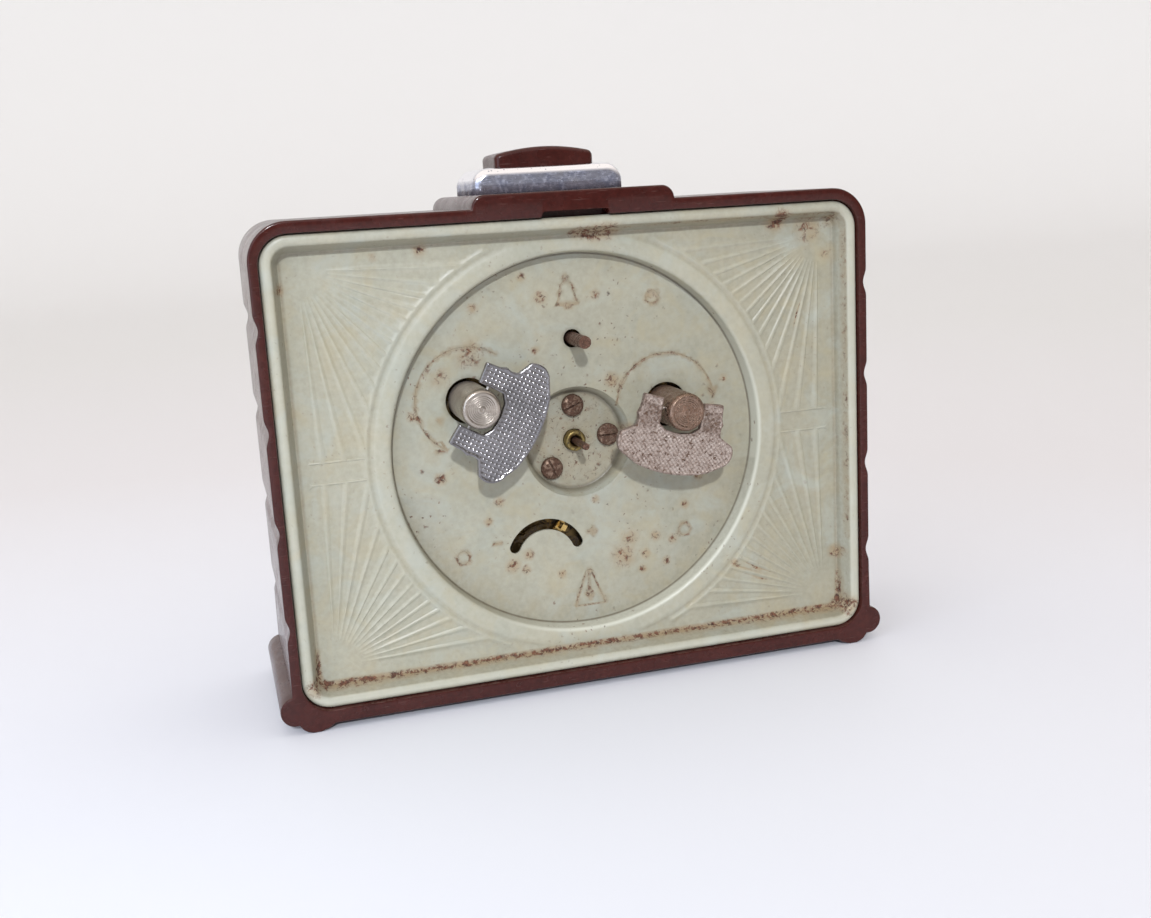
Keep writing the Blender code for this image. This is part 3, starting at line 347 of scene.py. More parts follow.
def chrome(name, tarnish_and_reflection):
    """Plated metal, bright on top; its upright faces carry scratches, small pits and a bluish film, which is
    tarnish and also a painted reflection of the darker camera side.
    """
    g = Surface(name)
    film = g.noise(5.0, 5.0, distortion=0.5)
    lines = g.scratches(0.22, ((0, 35, 0), (0, -20, 60), (0, 70, 30)), 0.56, 0.66)
    pit = g.dots(0.8, (0.16, 0.30), (0.58, 0.62))
    # Tarnish on upright faces, and on them also a painted bluish-grey reflection; faces that look up are left
    # bright.
    haze = g.times(g.ramp(film, (0.30, 0.65 * tarnish_and_reflection), (0.65, tarnish_and_reflection)), g.fall(g.upward(), 0.12, 0.42))
    colour = g.mix(haze, (0.95, 0.94, 0.98), (0.185, 0.20, 0.285))
    speck = g.rise(g.noise(0.9, 5.0, rough=0.75), 0.50, 0.60, 0.9)
    colour = g.mix(g.times(speck, haze), colour, (0.62, 0.64, 0.76))
    colour = g.mix(g.times(lines, g.times(haze, 0.12)), colour, (0.74, 0.76, 0.86))
    colour = g.mix(g.times(pit, 0.7 * tarnish_and_reflection), colour, (0.12, 0.12, 0.16))
    rough = g.plus(g.ramp(film, (0.35, 0.07), (0.70, 0.18)), g.times(lines, 0.05))
    rough = g.plus(g.plus(rough, g.times(pit, 0.4 * tarnish_and_reflection)), g.times(haze, 0.16), clamp=True)
    height = g.plus(g.times(lines, -0.06), g.times(pit, -0.8 * tarnish_and_reflection))
    return g.finish(colour, rough, height, 0.015, Metallic=g.ramp(haze, (0.0, 1.0), (1.0, 0.62)))


def worn_metal(name, bright, dull, rust, rust_share, rough=(0.24, 0.42), size=2.2):
    """Plated or plain metal: bright, a dull film, and rust where rust_share lets it through."""
    g = Surface(name)
    film = g.noise(size * 1.8, 5.0, distortion=0.5)
    spread = g.noise(size, 6.0, distortion=0.7, rough=0.65)
    fine = g.noise(0.35, 3.0)
    low = 0.70 - 0.45 * rust_share
    valley = g.times(g.painted("grime_and_shade"), g.ramp(spread, (0.36, 0.35), (0.58, 1.0)))
    rusty = g.most(g.rise(spread, low, low + 0.08), g.times(valley, 0.9))
    tone = g.ramp(fine, (0.32, tuple(c * 0.45 for c in rust)), (0.66, rust))
    colour = g.mix(rusty, g.mix(g.rise(film, 0.36, 0.66), bright, dull), tone)
    lines = g.scratches(0.22, ((0, 25, 10), (0, -40, 50)), 0.62, 0.70)
    full = g.plus(g.ramp(film, (0.35, rough[0]), (0.70, rough[1])), g.times(rusty, 0.38))
    full = g.plus(full, g.times(lines, 0.12), clamp=True)
    height = g.plus(g.times(fine, 0.5), g.times(rusty, 0.6))
    return g.finish(colour, full, height, 0.03, Metallic=g.ramp(rusty, (0.0, 1.0), (1.0, 0.35)))


def enamel(name, light, aged, rough=(0.28, 0.42)):
    """Paint or enamel with faint ageing, for the dial and the hands."""
    g = Surface(name)
    colour = g.mix(g.rise(g.noise(14.0, 5.0, distortion=0.8), 0.38, 0.72, 0.8), light, aged)
    spot = g.dots(3.2, (0.05, 0.11), (0.66, 0.70), top=0.6)
    colour = g.mix(spot, colour, tuple(c * 0.35 for c in aged))
    fine = g.noise(0.8, 3.0)
    return g.finish(colour, g.ramp(fine, (0.3, rough[0]), (0.7, rough[1])), fine, 0.01)


def glass():
    """Thin domed crystal, lightly scuffed."""
    g = Surface("glass_look")
    rough = g.ramp(g.scratches(0.5, ((0, 15, 0), (0, -60, 0)), 0.64, 0.70), (0.0, 0.02), (1.0, 0.14))
    haze = g.ramp(g.noise(9.0, 4.0), (0.35, (0.985, 0.99, 0.99)), (0.70, (0.955, 0.96, 0.95)))
    return g.finish(haze, rough, Transmission_Weight=1.0, IOR=1.46)


# Bright, dull and rust colours, the share of rust, then roughness and size of the stains
METALS = {
    "nickel": ((0.305, 0.295, 0.305), (0.20, 0.193, 0.20), (0.10, 0.085, 0.08), 0.05, (0.14, 0.26)),
    "nickel_boss": ((0.47, 0.42, 0.37), (0.35, 0.31, 0.27), (0.22, 0.16, 0.12), 0.12, (0.22, 0.36)),
    "rusty_nickel": ((0.56, 0.48, 0.43), (0.42, 0.34, 0.295), (0.15, 0.085, 0.055), 0.37, (0.42, 0.55), 0.8),
    "rusty_boss": ((0.31, 0.215, 0.165), (0.22, 0.15, 0.11), (0.20, 0.11, 0.07), 0.45, (0.17, 0.33), 0.7),
    "rusty_steel": ((0.30, 0.21, 0.155), (0.20, 0.135, 0.10), (0.135, 0.070, 0.045), 0.60, (0.40, 0.60), 0.9),
    "dark_steel": ((0.23, 0.130, 0.095), (0.14, 0.078, 0.056), (0.11, 0.055, 0.035), 0.50, (0.30, 0.50), 0.7),
    "bush_brass": ((0.36, 0.27, 0.10), (0.22, 0.165, 0.065), (0.09, 0.060, 0.025), 0.40, (0.30, 0.45), 0.8),
    # Brass painted dark for the rear movement plate: painted shade for the plate seen through the cover's
    # holes.
    "shade_dark_brass": ((0.20, 0.135, 0.055), (0.11, 0.075, 0.035), (0.07, 0.045, 0.025), 0.45),
    "steel": ((0.50, 0.49, 0.48), (0.38, 0.36, 0.34), (0.20, 0.12, 0.08), 0.22),
    "spring_steel": ((0.15, 0.19, 0.30), (0.12, 0.13, 0.17), (0.14, 0.08, 0.06), 0.10),
    "brass": ((0.66, 0.46, 0.17), (0.42, 0.29, 0.12), (0.16, 0.10, 0.05), 0.25),
}
LOOKS = {
    "bakelite": bakelite(),
    "cover_paint": cover_paint(),
    "chrome": chrome("chrome_look", 0.12),
    "old_chrome": chrome("old_chrome_look", 1.0),
    "dial_enamel": enamel("dial_enamel_look", (0.80, 0.76, 0.64), (0.70, 0.62, 0.44)),
    "hand_paint": enamel("hand_paint_look", (0.018, 0.017, 0.016), (0.045, 0.036, 0.028), (0.22, 0.40)),
    "glass": glass(),
    **{name: worn_metal(f"{name}_look", *values) for name, values in METALS.items()},
}


# ---------- outlines
def arc(centre, radius, start_deg, end_deg, steps):
    """Points on an arc, both ends included."""
    points = []
    for i in range(steps + 1):
        angle = radians(start_deg + (end_deg - start_deg) * i / steps)
        points.append((centre[0] + radius * cos(angle), centre[1] + radius * sin(angle)))
    return points


def circle(radius, steps, centre=(0.0, 0.0), start_deg=0.0):
    return arc(centre, radius, start_deg, start_deg + 360.0 - 360.0 / steps, steps - 1)


def mirrored(points):
    """The points, and then back again on the other side of x = 0."""
    return points + [(-x, z) for x, z in reversed(points)]


def shifted(points, at):
    return [(at[0] + x, at[1] + z) for x, z in points]


def rounded_rect(left, right, low, high, radius, corner_steps, across, up):
    """Anticlockwise rounded rectangle whose point count doesn't depend on its size."""
    corners = (((right - radius, low + radius), -90.0), ((right - radius, high - radius), 0.0),
               ((left + radius, high - radius), 90.0), ((left + radius, low + radius), 180.0))
    arcs = [arc(at, radius, start, start + 90.0, corner_steps) for at, start in corners]
    points = []
    for i, corner in enumerate(arcs):
        points += corner
        start, end = corner[-1], arcs[(i + 1) % 4][0]
        between = up if i % 2 == 0 else across
        points += [(start[0] + (end[0] - start[0]) * k / between,
                    start[1] + (end[1] - start[1]) * k / between) for k in range(1, between)]
    return points


def evened(points, longest):
    """A closed outline with its long edges divided."""
    made = []
    for i, start in enumerate(points):
        end = points[(i + 1) % len(points)]
        length = hypot(end[0] - start[0], end[1] - start[1])
        count = 0 if length < 1e-4 else max(1, int(length / longest + 0.999))
        made += [(start[0] + (end[0] - start[0]) * k / count,
                  start[1] + (end[1] - start[1]) * k / count) for k in range(count)]
    return made


def drawn_in(points, distance):
    """A closed anticlockwise outline moved inwards along its normals."""
    flat = np.array(points)
    along = np.roll(flat, -1, 0) - np.roll(flat, 1, 0)
    along /= np.linalg.norm(along, axis=1)[:, None]
    return [tuple(p) for p in flat + np.stack([-along[:, 1], along[:, 0]], 1) * distance]


def rect_distance(x, z, left, right, low, high, radius):
    """Signed distance to a rounded rectangle, below 0 inside it."""
    qx = np.abs(x - (left + right) / 2.0) - (right - left) / 2.0 + radius
    qz = np.abs(z - (low + high) / 2.0) - (high - low) / 2.0 + radius
    outside = np.hypot(np.maximum(qx, 0.0), np.maximum(qz, 0.0))
    return outside + np.minimum(np.maximum(qx, qz), 0.0) - radius


def cast_on(points, distance):
    """The outline drawn again on the curve where distance is 0, turning only one way round it."""
    flat = np.array(points)
    turn = np.unwrap(np.arctan2(flat[:, 1], flat[:, 0]))
    turn = (np.maximum.accumulate(turn) + np.minimum.accumulate(turn[::-1])[::-1]) / 2.0
    turn = 0.97 * turn + 0.03 * np.linspace(turn[0], turn[-1], len(turn))
    reach = np.hypot(flat[:, 0], flat[:, 1])
    flat = np.stack([reach * np.cos(turn), reach * np.sin(turn)], 1)
    near, far = np.zeros(len(flat)), np.full(len(flat), 1.5)
    for _ in range(40):
        half = (near + far) / 2.0
        inside = distance(flat[:, 0] * half, flat[:, 1] * half) < 0.0
        near, far = np.where(inside, half, near), np.where(inside, far, half)
    return [tuple(p) for p in flat * near[:, None]]


# ---------- pieces
def loft(bm, rings, closed=False, strip=False):
    """Quads between rings of (x, y, z) points, all of one length; a strip's rings are open."""
    layers = [[bm.verts.new(point) for point in ring] for ring in rings]
    pairs = list(zip(layers, layers[1:])) + ([(layers[-1], layers[0])] if closed else [])
    for ring, following in pairs:
        for k in range(len(ring) - strip):
            j = (k + 1) % len(ring)
            bm.faces.new((ring[k], ring[j], following[j], following[k]))
    return layers


def solid(bm, rings):
    """A loft with both ends closed."""
    layers = loft(bm, rings)
    bm.faces.new(list(reversed(layers[0])))
    bm.faces.new(layers[-1])


def level(outline, y):
    """A flat outline at depth y, in the frame's own axes."""
    return [(x, y, CENTRE_Z + z) for x, z in outline]


def flat_between(bm, ring, other):
    """Fills the flat area between two closed rings in one plane across Y, whatever their shapes."""
    verts = ring + other
    count, total = len(ring), len(ring) + len(other)
    edges = [(i, (i + 1) % count) for i in range(count)]
    edges += [(i, i + 1 if i + 1 < total else count) for i in range(count, total)]
    flat = [Vector((v.co.x, v.co.z)) for v in verts]
    points, _, faces, origin, _, _ = delaunay_2d_cdt(flat, edges, [], 0, 1e-5)
    middles = np.array([sum((points[i] for i in face), Vector((0.0, 0.0))) / 3.0 for face in faces])
    _, in_ring = polygon_distance(middles[:, 0], middles[:, 1], flat[:count])
    _, in_other = polygon_distance(middles[:, 0], middles[:, 1], flat[count:])
    for face, keep in zip(faces, in_ring != in_other):
        if keep:
            bm.faces.new([verts[origin[i][0]] for i in face])


def placed(name, data):
    """A new object in the scene."""
    made = bpy.data.objects.new(name, data)
    bpy.context.scene.collection.objects.link(made)
    return made


def mesh_from(bm, name):
    """Turns a bmesh in mm into a mesh."""
    bmesh.ops.recalc_face_normals(bm, faces=bm.faces)
    bmesh.ops.scale(bm, vec=(MM, MM, MM), verts=bm.verts)
    mesh = bpy.data.meshes.new(name)
    bm.to_mesh(mesh)
    bm.free()
    return mesh


def piece(bm, name, slot, body, nodes, sharp_deg=32.0, weld=0.002, look=None):
    """Turns a bmesh in mm into a finished piece that rides on a body and stands for CAD nodes."""
    bmesh.ops.remove_doubles(bm, verts=bm.verts, dist=weld)
    bmesh.ops.dissolve_degenerate(bm, edges=bm.edges, dist=weld / 4.0)
    mesh = mesh_from(bm, name)
    mesh.materials.append(LOOKS[look or slot])
    mesh.shade_smooth()
    mesh.set_sharp_from_angle(angle=radians(sharp_deg))
    made = placed(name, mesh)
    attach(made, body)
    if nodes:
        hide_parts(*nodes)
    return made


def paint(made, name, values):
    """Stores one number for each point of a piece, for its material to read."""
    layer = made.data.attributes.new(name, "FLOAT", "POINT")
    layer.data.foreach_set("value", np.asarray(values, np.float32))


def points_of(made):
    """A piece's points as x, y and z from the hands' axis, in mm."""
    flat = np.zeros(len(made.data.vertices) * 3)
    made.data.vertices.foreach_get("co", flat)
    x, y, z = (flat.reshape(-1, 3) / MM).T
    return x, y, z - CENTRE_Z


def cut_out(made, rings):
    """Takes the solid between rings away from a piece."""
    bm = bmesh.new()
    solid(bm, rings)
    tool = placed("cutter", mesh_from(bm, "cutter"))
    step = made.modifiers.new("cut", "BOOLEAN")
    step.object = tool
    step.solver = "EXACT"
    keep_result(made)
    bpy.data.objects.remove(tool)


def keep_result(made):
    """Replaces a piece's mesh by what its modifiers make of it."""
    graph = bpy.context.evaluated_depsgraph_get()
    result = bpy.data.meshes.new_from_object(made.evaluated_get(graph))
    made.modifiers.clear()
    made.data = result


def turned(name, slot, body, nodes, at, profile, steps, sharp_deg=32.0, look=None):
    """A closed (radius, y) profile turned about the Y axis through at."""
    bm = bmesh.new()
    turns = [2.0 * pi * k / steps for k in range(steps)]
    rings = [level([(at[0] + r * cos(a), at[1] + r * sin(a)) for a in turns], y) for r, y in profile]
    loft(bm, rings, closed=profile[0][0] > 0.0)
    return piece(bm, name, slot, body, nodes, sharp_deg, look=look)


def two_skins(bm, triangles, front, back, has_rim=lambda a, b: True):
    """Faces on both sides of a sheet, and round those of its open edges that have a rim."""
    seen = {}
    for a, b, c in triangles.tolist():
        bm.faces.new((front[a], front[b], front[c]))
        bm.faces.new((back[c], back[b], back[a]))
        for pair in ((a, b), (b, c), (c, a)):
            key = (min(pair), max(pair))
            seen[key] = None if key in seen else pair
    for pair in seen.values():
        if pair and has_rim(*pair):
            a, b = pair
            bm.faces.new((front[b], front[a], back[a], back[b]))


def unit(values):
    """Limited to between 0 and 1."""
    return np.clip(values, 0.0, 1.0)


def bell(values, peak, width):
    """1 at the peak and fading on both sides of it."""
    return np.exp(-((values - peak) / width) ** 2)


def highest(*layers):
    return np.maximum.reduce(np.broadcast_arrays(*layers))


# ---------- case
def case_outline():
    """Outside of the case, anticlockwise: rolled feet, fluted sides, plinth on top."""
    low, top = BASE_Z - CENTRE_Z, TOP_Z - CENTRE_Z
    ground = -CENTRE_Z
    half = [(HALF_W - 8.7, low), (HALF_W - 7.2, ground + 0.6), (HALF_W - 5.4, ground),
            (HALF_W - 3.6, ground)]
    half += arc((HALF_W - 4.1, low + 2.1), 3.6, -65.0, -25.0, 6)
    half += arc((HALF_W - 0.4, low + 3.9), 3.4, -80.0, 80.0, 18)
    flutes, first_flute, pitch, flute_half, flute_depth = 4, 22.3, 21.6, 3.3, 0.75
    for i in range(flutes):
        for k in range(17):
            share = (k - 8) / 8.0
            half.append((HALF_W - flute_depth * (0.5 + 0.5 * cos(pi * share)),
                         low + first_flute + i * pitch + flute_half * share))
    half += arc((HALF_W - CASE_CORNER_R, top - CASE_CORNER_R), CASE_CORNER_R, 0.0, 90.0, 16)
    half += [(PLINTH_HALF, top)]
    half += arc((PLINTH_HALF - PLINTH_H, top), PLINTH_H, 12.0, 90.0, 8)
    return evened(mirrored(half), 1.3)


def case_rect(side, top, bottom, radius):
    """Distance function of a rounded rectangle that stays inside the case by these margins."""
    return lambda x, z: rect_distance(x, z, side - HALF_W, HALF_W - side, BASE_Z + bottom - CENTRE_Z,
                                      TOP_Z - top - CENTRE_Z, radius)


def make_case():
    """The moulded shell: grooved front, smooth outside, and the rear rim that holds the cover."""
    outline = case_outline()
    dial_r, seat_r = 44.5, 46.8
    seat_y, wall_y = FRONT_Y + 1.6, FRONT_Y + 4.7
    front_r, rear_r, rim_r, ledge_r = 1.1, 0.45, 6.4, 5.0
    ledge = (4.2, 4.6, 5.0)
    groove_edges = (4.4, 2.95)
    groove = ((0.0, 0.0), (-0.12, 0.35), (-0.3, 0.5), (-0.6, 0.5), (-0.78, 0.35), (-0.9, 0.0))
    rings = []

    def outer(inset, y):
        rings.append(level(drawn_in(outline, inset), y))

    def rect(margins, radius, y):
        rings.append(level(cast_on(outline, case_rect(*margins, radius)), y))

    def disc(radius, y):
        rings.append(level(cast_on(outline, lambda x, z: np.hypot(x, z) - radius), y))

    disc(seat_r, FRONT_Y)
    for edge in groove_edges:
        for inset, drop in groove:
            margin = edge + inset
            rect((margin, margin, margin), CASE_CORNER_R - margin, FRONT_Y + drop)
    first_outer = len(rings)
    for i in range(7):
        angle = radians(15.0 * i)
        outer(front_r * (1.0 - sin(angle)), FRONT_Y + front_r * (1.0 - cos(angle)))
    for y in np.linspace(FRONT_Y + 6.0, REAR_Y - 4.0, 6):
        outer(0.0, y)
    for i in range(5):
        angle = radians(22.5 * i)
        outer(rear_r * (1.0 - cos(angle)), REAR_Y - rear_r * (1.0 - sin(angle)))
    last_outer = len(rings)
    for side, y in ((-0.3, REAR_Y), (-0.1, REAR_Y - 0.08), (0.0, REAR_Y - 0.3), (0.0, LEDGE_Y)):
        rect((RIM_SIDE + side, RIM_TOP + side, RIM_BOTTOM + side), rim_r, y)
    for y in (LEDGE_Y, wall_y):
        rect(ledge, ledge_r, y)
    for radius, y in ((dial_r, wall_y), (dial_r, seat_y), (seat_r, seat_y)):
        disc(radius, y)
    bm = bmesh.new()
    skin = loft(bm, rings[first_outer:last_outer])
    inside = loft(bm, rings[last_outer:] + rings[:first_outer])
    flat_between(bm, skin[-1], inside[0])
    flat_between(bm, skin[0], inside[-1])
    case = piece(bm, "case_shell", "bakelite", "clock", ["case"])
    slot_low, slot_top = TOP_Z - RIM_TOP - 0.8 - CENTRE_Z, TOP_Z - 1.3 - CENTRE_Z
    slot = [(-8.2, slot_low), (8.2, slot_low)] + mirrored(arc((6.9, slot_top - 0.6), 0.6, 20.0, 90.0, 4))
    cut_out(case, [level(slot, REAR_Y - 5.0), level(slot, REAR_Y + 2.0)])


# ---------- back cover
class Relief:
    """Raised or pressed lines on a sheet: each has a width and a height that may taper."""

    def __init__(self):
        self.parts = []

    def line(self, points, half_width, height, half_width_end=None, height_end=None):
        count = len(points) - 1
        w_end = half_width if half_width_end is None else half_width_end
        h_end = height if height_end is None else height_end
        for i in range(count):
            widths = [half_width + (w_end - half_width) * k / count for k in (i, i + 1)]
            heights = [height + (h_end - height) * k / count for k in (i, i + 1)]
            self.parts.append((points[i], points[i + 1], *widths, *heights))

    def closed(self, points, half_width, height):
        self.line(points + [points[0]], half_width, height)

    def height(self, x, z):
        """Height over the sheet, and the distance to the nearest line, at many points."""
        total = np.zeros(len(x))
        nearest = np.full(len(x), 1e3)
        for start, end, w0, w1, h0, h1 in self.parts:
            dx, dz = end[0] - start[0], end[1] - start[1]
            reach = max(w0, w1) + 1.0
            close = ((x > min(start[0], end[0]) - reach) & (x < max(start[0], end[0]) + reach)
                     & (z > min(start[1], end[1]) - reach) & (z < max(start[1], end[1]) + reach))
            if not close.any():
                continue
            px, pz = x[close] - start[0], z[close] - start[1]
            share = unit((px * dx + pz * dz) / (dx * dx + dz * dz))
            away = np.hypot(px - share * dx, pz - share * dz)
            profile = np.interp(away / (w0 + (w1 - w0) * share), (0.0, 0.45, 1.0), (1.0, 0.85, 0.0))
            add = profile * (h0 + (h1 - h0) * share)
            total[close] = np.where(np.abs(add) > np.abs(total[close]), add, total[close])
            nearest[close] = np.minimum(nearest[close], away - (w0 + (w1 - w0) * share))
        return total, nearest

    def guides(self):
        """Edges along each line's crest, shoulders and feet, for the sheet's mesh to follow."""
        made = []
        for start, end, w0, w1, _, _ in self.parts:
            length = hypot(end[0] - start[0], end[1] - start[1])
            nx, nz = -(end[1] - start[1]) / length, (end[0] - start[0]) / length
            for share in (-1.0, -0.45, 0.0, 0.45, 1.0):
                made.append(((start[0] + nx * w0 * share, start[1] + nz * w0 * share),
                             (end[0] + nx * w1 * share, end[1] + nz * w1 * share)))
        return made


def sunburst(relief):
    """Rays from each corner of the cover, the ring they end on, and the bars at mid height."""
    rays, first_deg, step_deg = 14, 2.0, 6.6
    corner_x, ray_start, ray_swell, bar_z, span = 60.0, 6.5, 13.0, 2.4, 66.0
    for side in (1.0, -1.0):
        for corner_z in (43.5, -43.8):
            for i in range(rays):
                angle = radians(first_deg + step_deg * i)
                step = (-side * sin(angle), -(1.0 if corner_z > 0.0 else -1.0) * cos(angle))
                lengths = np.linspace(ray_start, 60.0, 400)
                x = side * corner_x + step[0] * lengths
                z = corner_z + step[1] * lengths
                stop = lengths[np.argmax((np.hypot(x, z) < RING_R + 0.2) | (np.abs(z) < bar_z + 0.1))]
                at = [(side * corner_x + step[0] * r, corner_z + step[1] * r)
                      for r in (ray_start, ray_swell, stop)]
                relief.line(at[:2], 0.16, 0.03, 0.32, 0.24)
                relief.line(at[1:], 0.32, 0.24, 0.16 + 0.0165 * stop, 0.24)
        for z in (bar_z, -bar_z):
            relief.line([(side * (RING_R + 0.2), z), (side * 61.0, z)], 0.32, 0.22)
        middle_deg = 0.0 if side > 0.0 else 180.0
        relief.line(arc((0.0, 0.0), RING_R, middle_deg - span, middle_deg + span, 150), 0.62, 0.22)


MARK_HALF = 0.15               # half the width of a stamped line
MARK_DEPTH = -0.09


def arrow_round(relief, at, radius, start, end):
    """A pressed arc with an arrow head at its end."""
    relief.line(arc(at, radius, start, end, 40), MARK_HALF, MARK_DEPTH)
    tip = arc(at, radius, end, end, 1)[0]
    turn = radians(end + (90.0 if end > start else -90.0))
    for lean in (150.0, 210.0):
        angle = turn + radians(lean)
        relief.line([tip, (tip[0] + 2.2 * cos(angle), tip[1] + 2.2 * sin(angle))], MARK_HALF, MARK_DEPTH)


def stamped_marks(relief):
    """Plain generic symbols: a bell, a pendulum triangle, turning arrows, plus and minus."""
    fine = 0.13
    at = (0.7, 34.4)
    outline = mirrored([(2.6, -2.6), (2.0, -1.6), (1.7, 0.2), (1.3, 1.7), (0.5, 2.6)])
    relief.closed(shifted(outline, at), MARK_HALF, MARK_DEPTH)
    relief.closed(circle(0.55, 10, (at[0], at[1] + 3.3)), fine, MARK_DEPTH)
    relief.line(arc((at[0], at[1] - 2.6), 0.8, 180.0, 360.0, 6), MARK_HALF, MARK_DEPTH)
    at = (-0.9, -35.1)
    outline = [(-3.6, -4.2), (3.6, -4.2), (3.1, -2.4), (0.5, 4.2), (-0.5, 4.2), (-3.1, -2.4)]
    relief.closed(shifted(outline, at), MARK_HALF, MARK_DEPTH)
    relief.line(shifted([(0.0, -3.0), (0.0, 2.6)], at), MARK_HALF, MARK_DEPTH)
    relief.closed(circle(0.8, 12, (at[0], at[1] - 1.6)), fine, MARK_DEPTH)
    for at in ((-19.6, 31.9), (28.7, -24.0), (-25.4, -24.0)):
        relief.closed(circle(1.5, 20, at), MARK_HALF, MARK_DEPTH)
    arrow_round(relief, ALARM_AT, 12.0, 125.0, -62.0)
    arrow_round(relief, TIME_AT, 12.0, 5.0, 176.0)
    for x, upright in ((-2.4, True), (20.6, False)):
        relief.line([(x - 1.0, -21.6), (x + 1.0, -21.6)], MARK_HALF, MARK_DEPTH)
        if upright:
            relief.line([(x, -22.6), (x, -20.6)], MARK_HALF, MARK_DEPTH)


def sheet_height(x, z, relief):
    """Depth Y of the cover's pressed sheet inside its bead."""
    r = np.hypot(x, z)
    drop = RECESS_Y - CUP_Y
    steps = (CUP_Y, CUP_Y, CUP_Y + 0.18, CUP_Y + 0.30 * drop, CUP_Y + 0.76 * drop, RECESS_Y - 0.12, RECESS_Y,
             RECESS_Y, RECESS_Y + 0.10, RECESS_Y + 0.55, FIELD_Y - 0.55, FIELD_Y - 0.12, FIELD_Y + 0.10,
             FIELD_Y + 0.26, FIELD_Y + 0.26, FIELD_Y)
    fade = unit(-cover_distance(x, z, FIELD_INSET) / 1.2)
    base = np.interp(r, (0.0, *RECESS_RINGS, *BAND_RINGS), steps)
    base = np.where(base > FIELD_Y, FIELD_Y + (base - FIELD_Y) * fade, base)
    raised, _ = relief.height(x, z)
    return base + raised * fade


def cover_edges(inset):
    """Left, right, low, high and corner radius of the cover's outline, drawn in by inset."""
    return (COVER_LOW.x + inset, COVER_HIGH.x - inset, COVER_LOW.z + inset - CENTRE_Z,
            COVER_HIGH.z - inset - CENTRE_Z, max(6.05 - inset, 2.2))


def cover_ring(inset):
    """The cover's outline drawn in; every ring has the same number of points."""
    left, right, low, high, radius = cover_edges(inset)
    return rounded_rect(left, right, low, high, radius, 12, 92, 68)


def cover_distance(x, z, inset):
    """Signed distance to the outline drawn in by inset."""
    return rect_distance(x, z, *cover_edges(inset))


def slot_outline(steps):
    """The curved regulator slot, round the balance's axis."""
    low, high = REGULATOR_SLOT

    first, last = (arc(BALANCE_AT, REGULATOR_R, angle, angle, 1)[0] for angle in REGULATOR_SLOT)
    return (arc(BALANCE_AT, REGULATOR_R + SLOT_HALF, low, high, steps)
            + arc(last, SLOT_HALF, high + 15.0, high + 165.0, 8)
            + arc(BALANCE_AT, REGULATOR_R - SLOT_HALF, high, low, steps)
            + arc(first, SLOT_HALF, low - 165.0, low - 15.0, 8))


def in_slot(x, z):
    """Which points lie in the regulator slot."""
    dx, dz = x - BALANCE_AT[0], z - BALANCE_AT[1]
    angle = np.degrees(np.arctan2(dz, dx))
    low, high = REGULATOR_SLOT
    middle_deg = (low + high) / 2.0
    off = np.abs((angle - middle_deg + 180.0) % 360.0 - 180.0)
    band = (np.abs(np.hypot(dx, dz) - REGULATOR_R) < SLOT_HALF) & (off < (high - low) / 2.0)
    for end in REGULATOR_SLOT:
        at = arc(BALANCE_AT, REGULATOR_R, end, end, 1)[0]
        band |= np.hypot(x - at[0], z - at[1]) < SLOT_HALF
    return band


ROUND_HOLES = [(TIME_AT, 5.2), (ALARM_AT, 5.2), (ALARM_SET_AT, 2.1), ((0.0, 0.0), 2.6)]
ROUND_HOLES += [(at, 1.5) for at in SCREW_AT]


def in_hole(x, z, margin=0.0):
    """Which points lie in the slot or in a round hole grown by margin."""
    inside = in_slot(x, z)
    for at, radius in ROUND_HOLES:
        inside |= np.hypot(x - at[0], z - at[1]) < radius + margin
    return inside


def sheet_mesh(border, loops, guides, loose):
    """Constrained triangles over a flat region: its points and triangles."""
    points, edges = [], []

    def add(outline, closed):
        start = len(points)
        points.extend(Vector(p) for p in outline)
        count = len(outline)
        edges.extend((start + i, start + (i + 1) % count) for i in range(count if closed else count - 1))

    add(border, True)
    for loop in loops:
        add(loop, True)
    for guide in guides:
        add(guide, False)
    points.extend(Vector(p) for p in loose)
    found = delaunay_2d_cdt(points, edges, [], 0, 0.0005)
    return np.array([tuple(p) for p in found[0]]), np.array(found[2])


def grid_points(x_span, z_span, pitch):
    """A triangular lattice of points."""
    rows = []
    for j, z in enumerate(np.arange(z_span[0], z_span[1], pitch * 0.866)):
        x = np.arange(x_span[0] + (pitch / 2.0 if j % 2 else 0.0), x_span[1], pitch)
        rows.append(np.stack([x, np.full(len(x), z)], 1))
    return np.concatenate(rows)


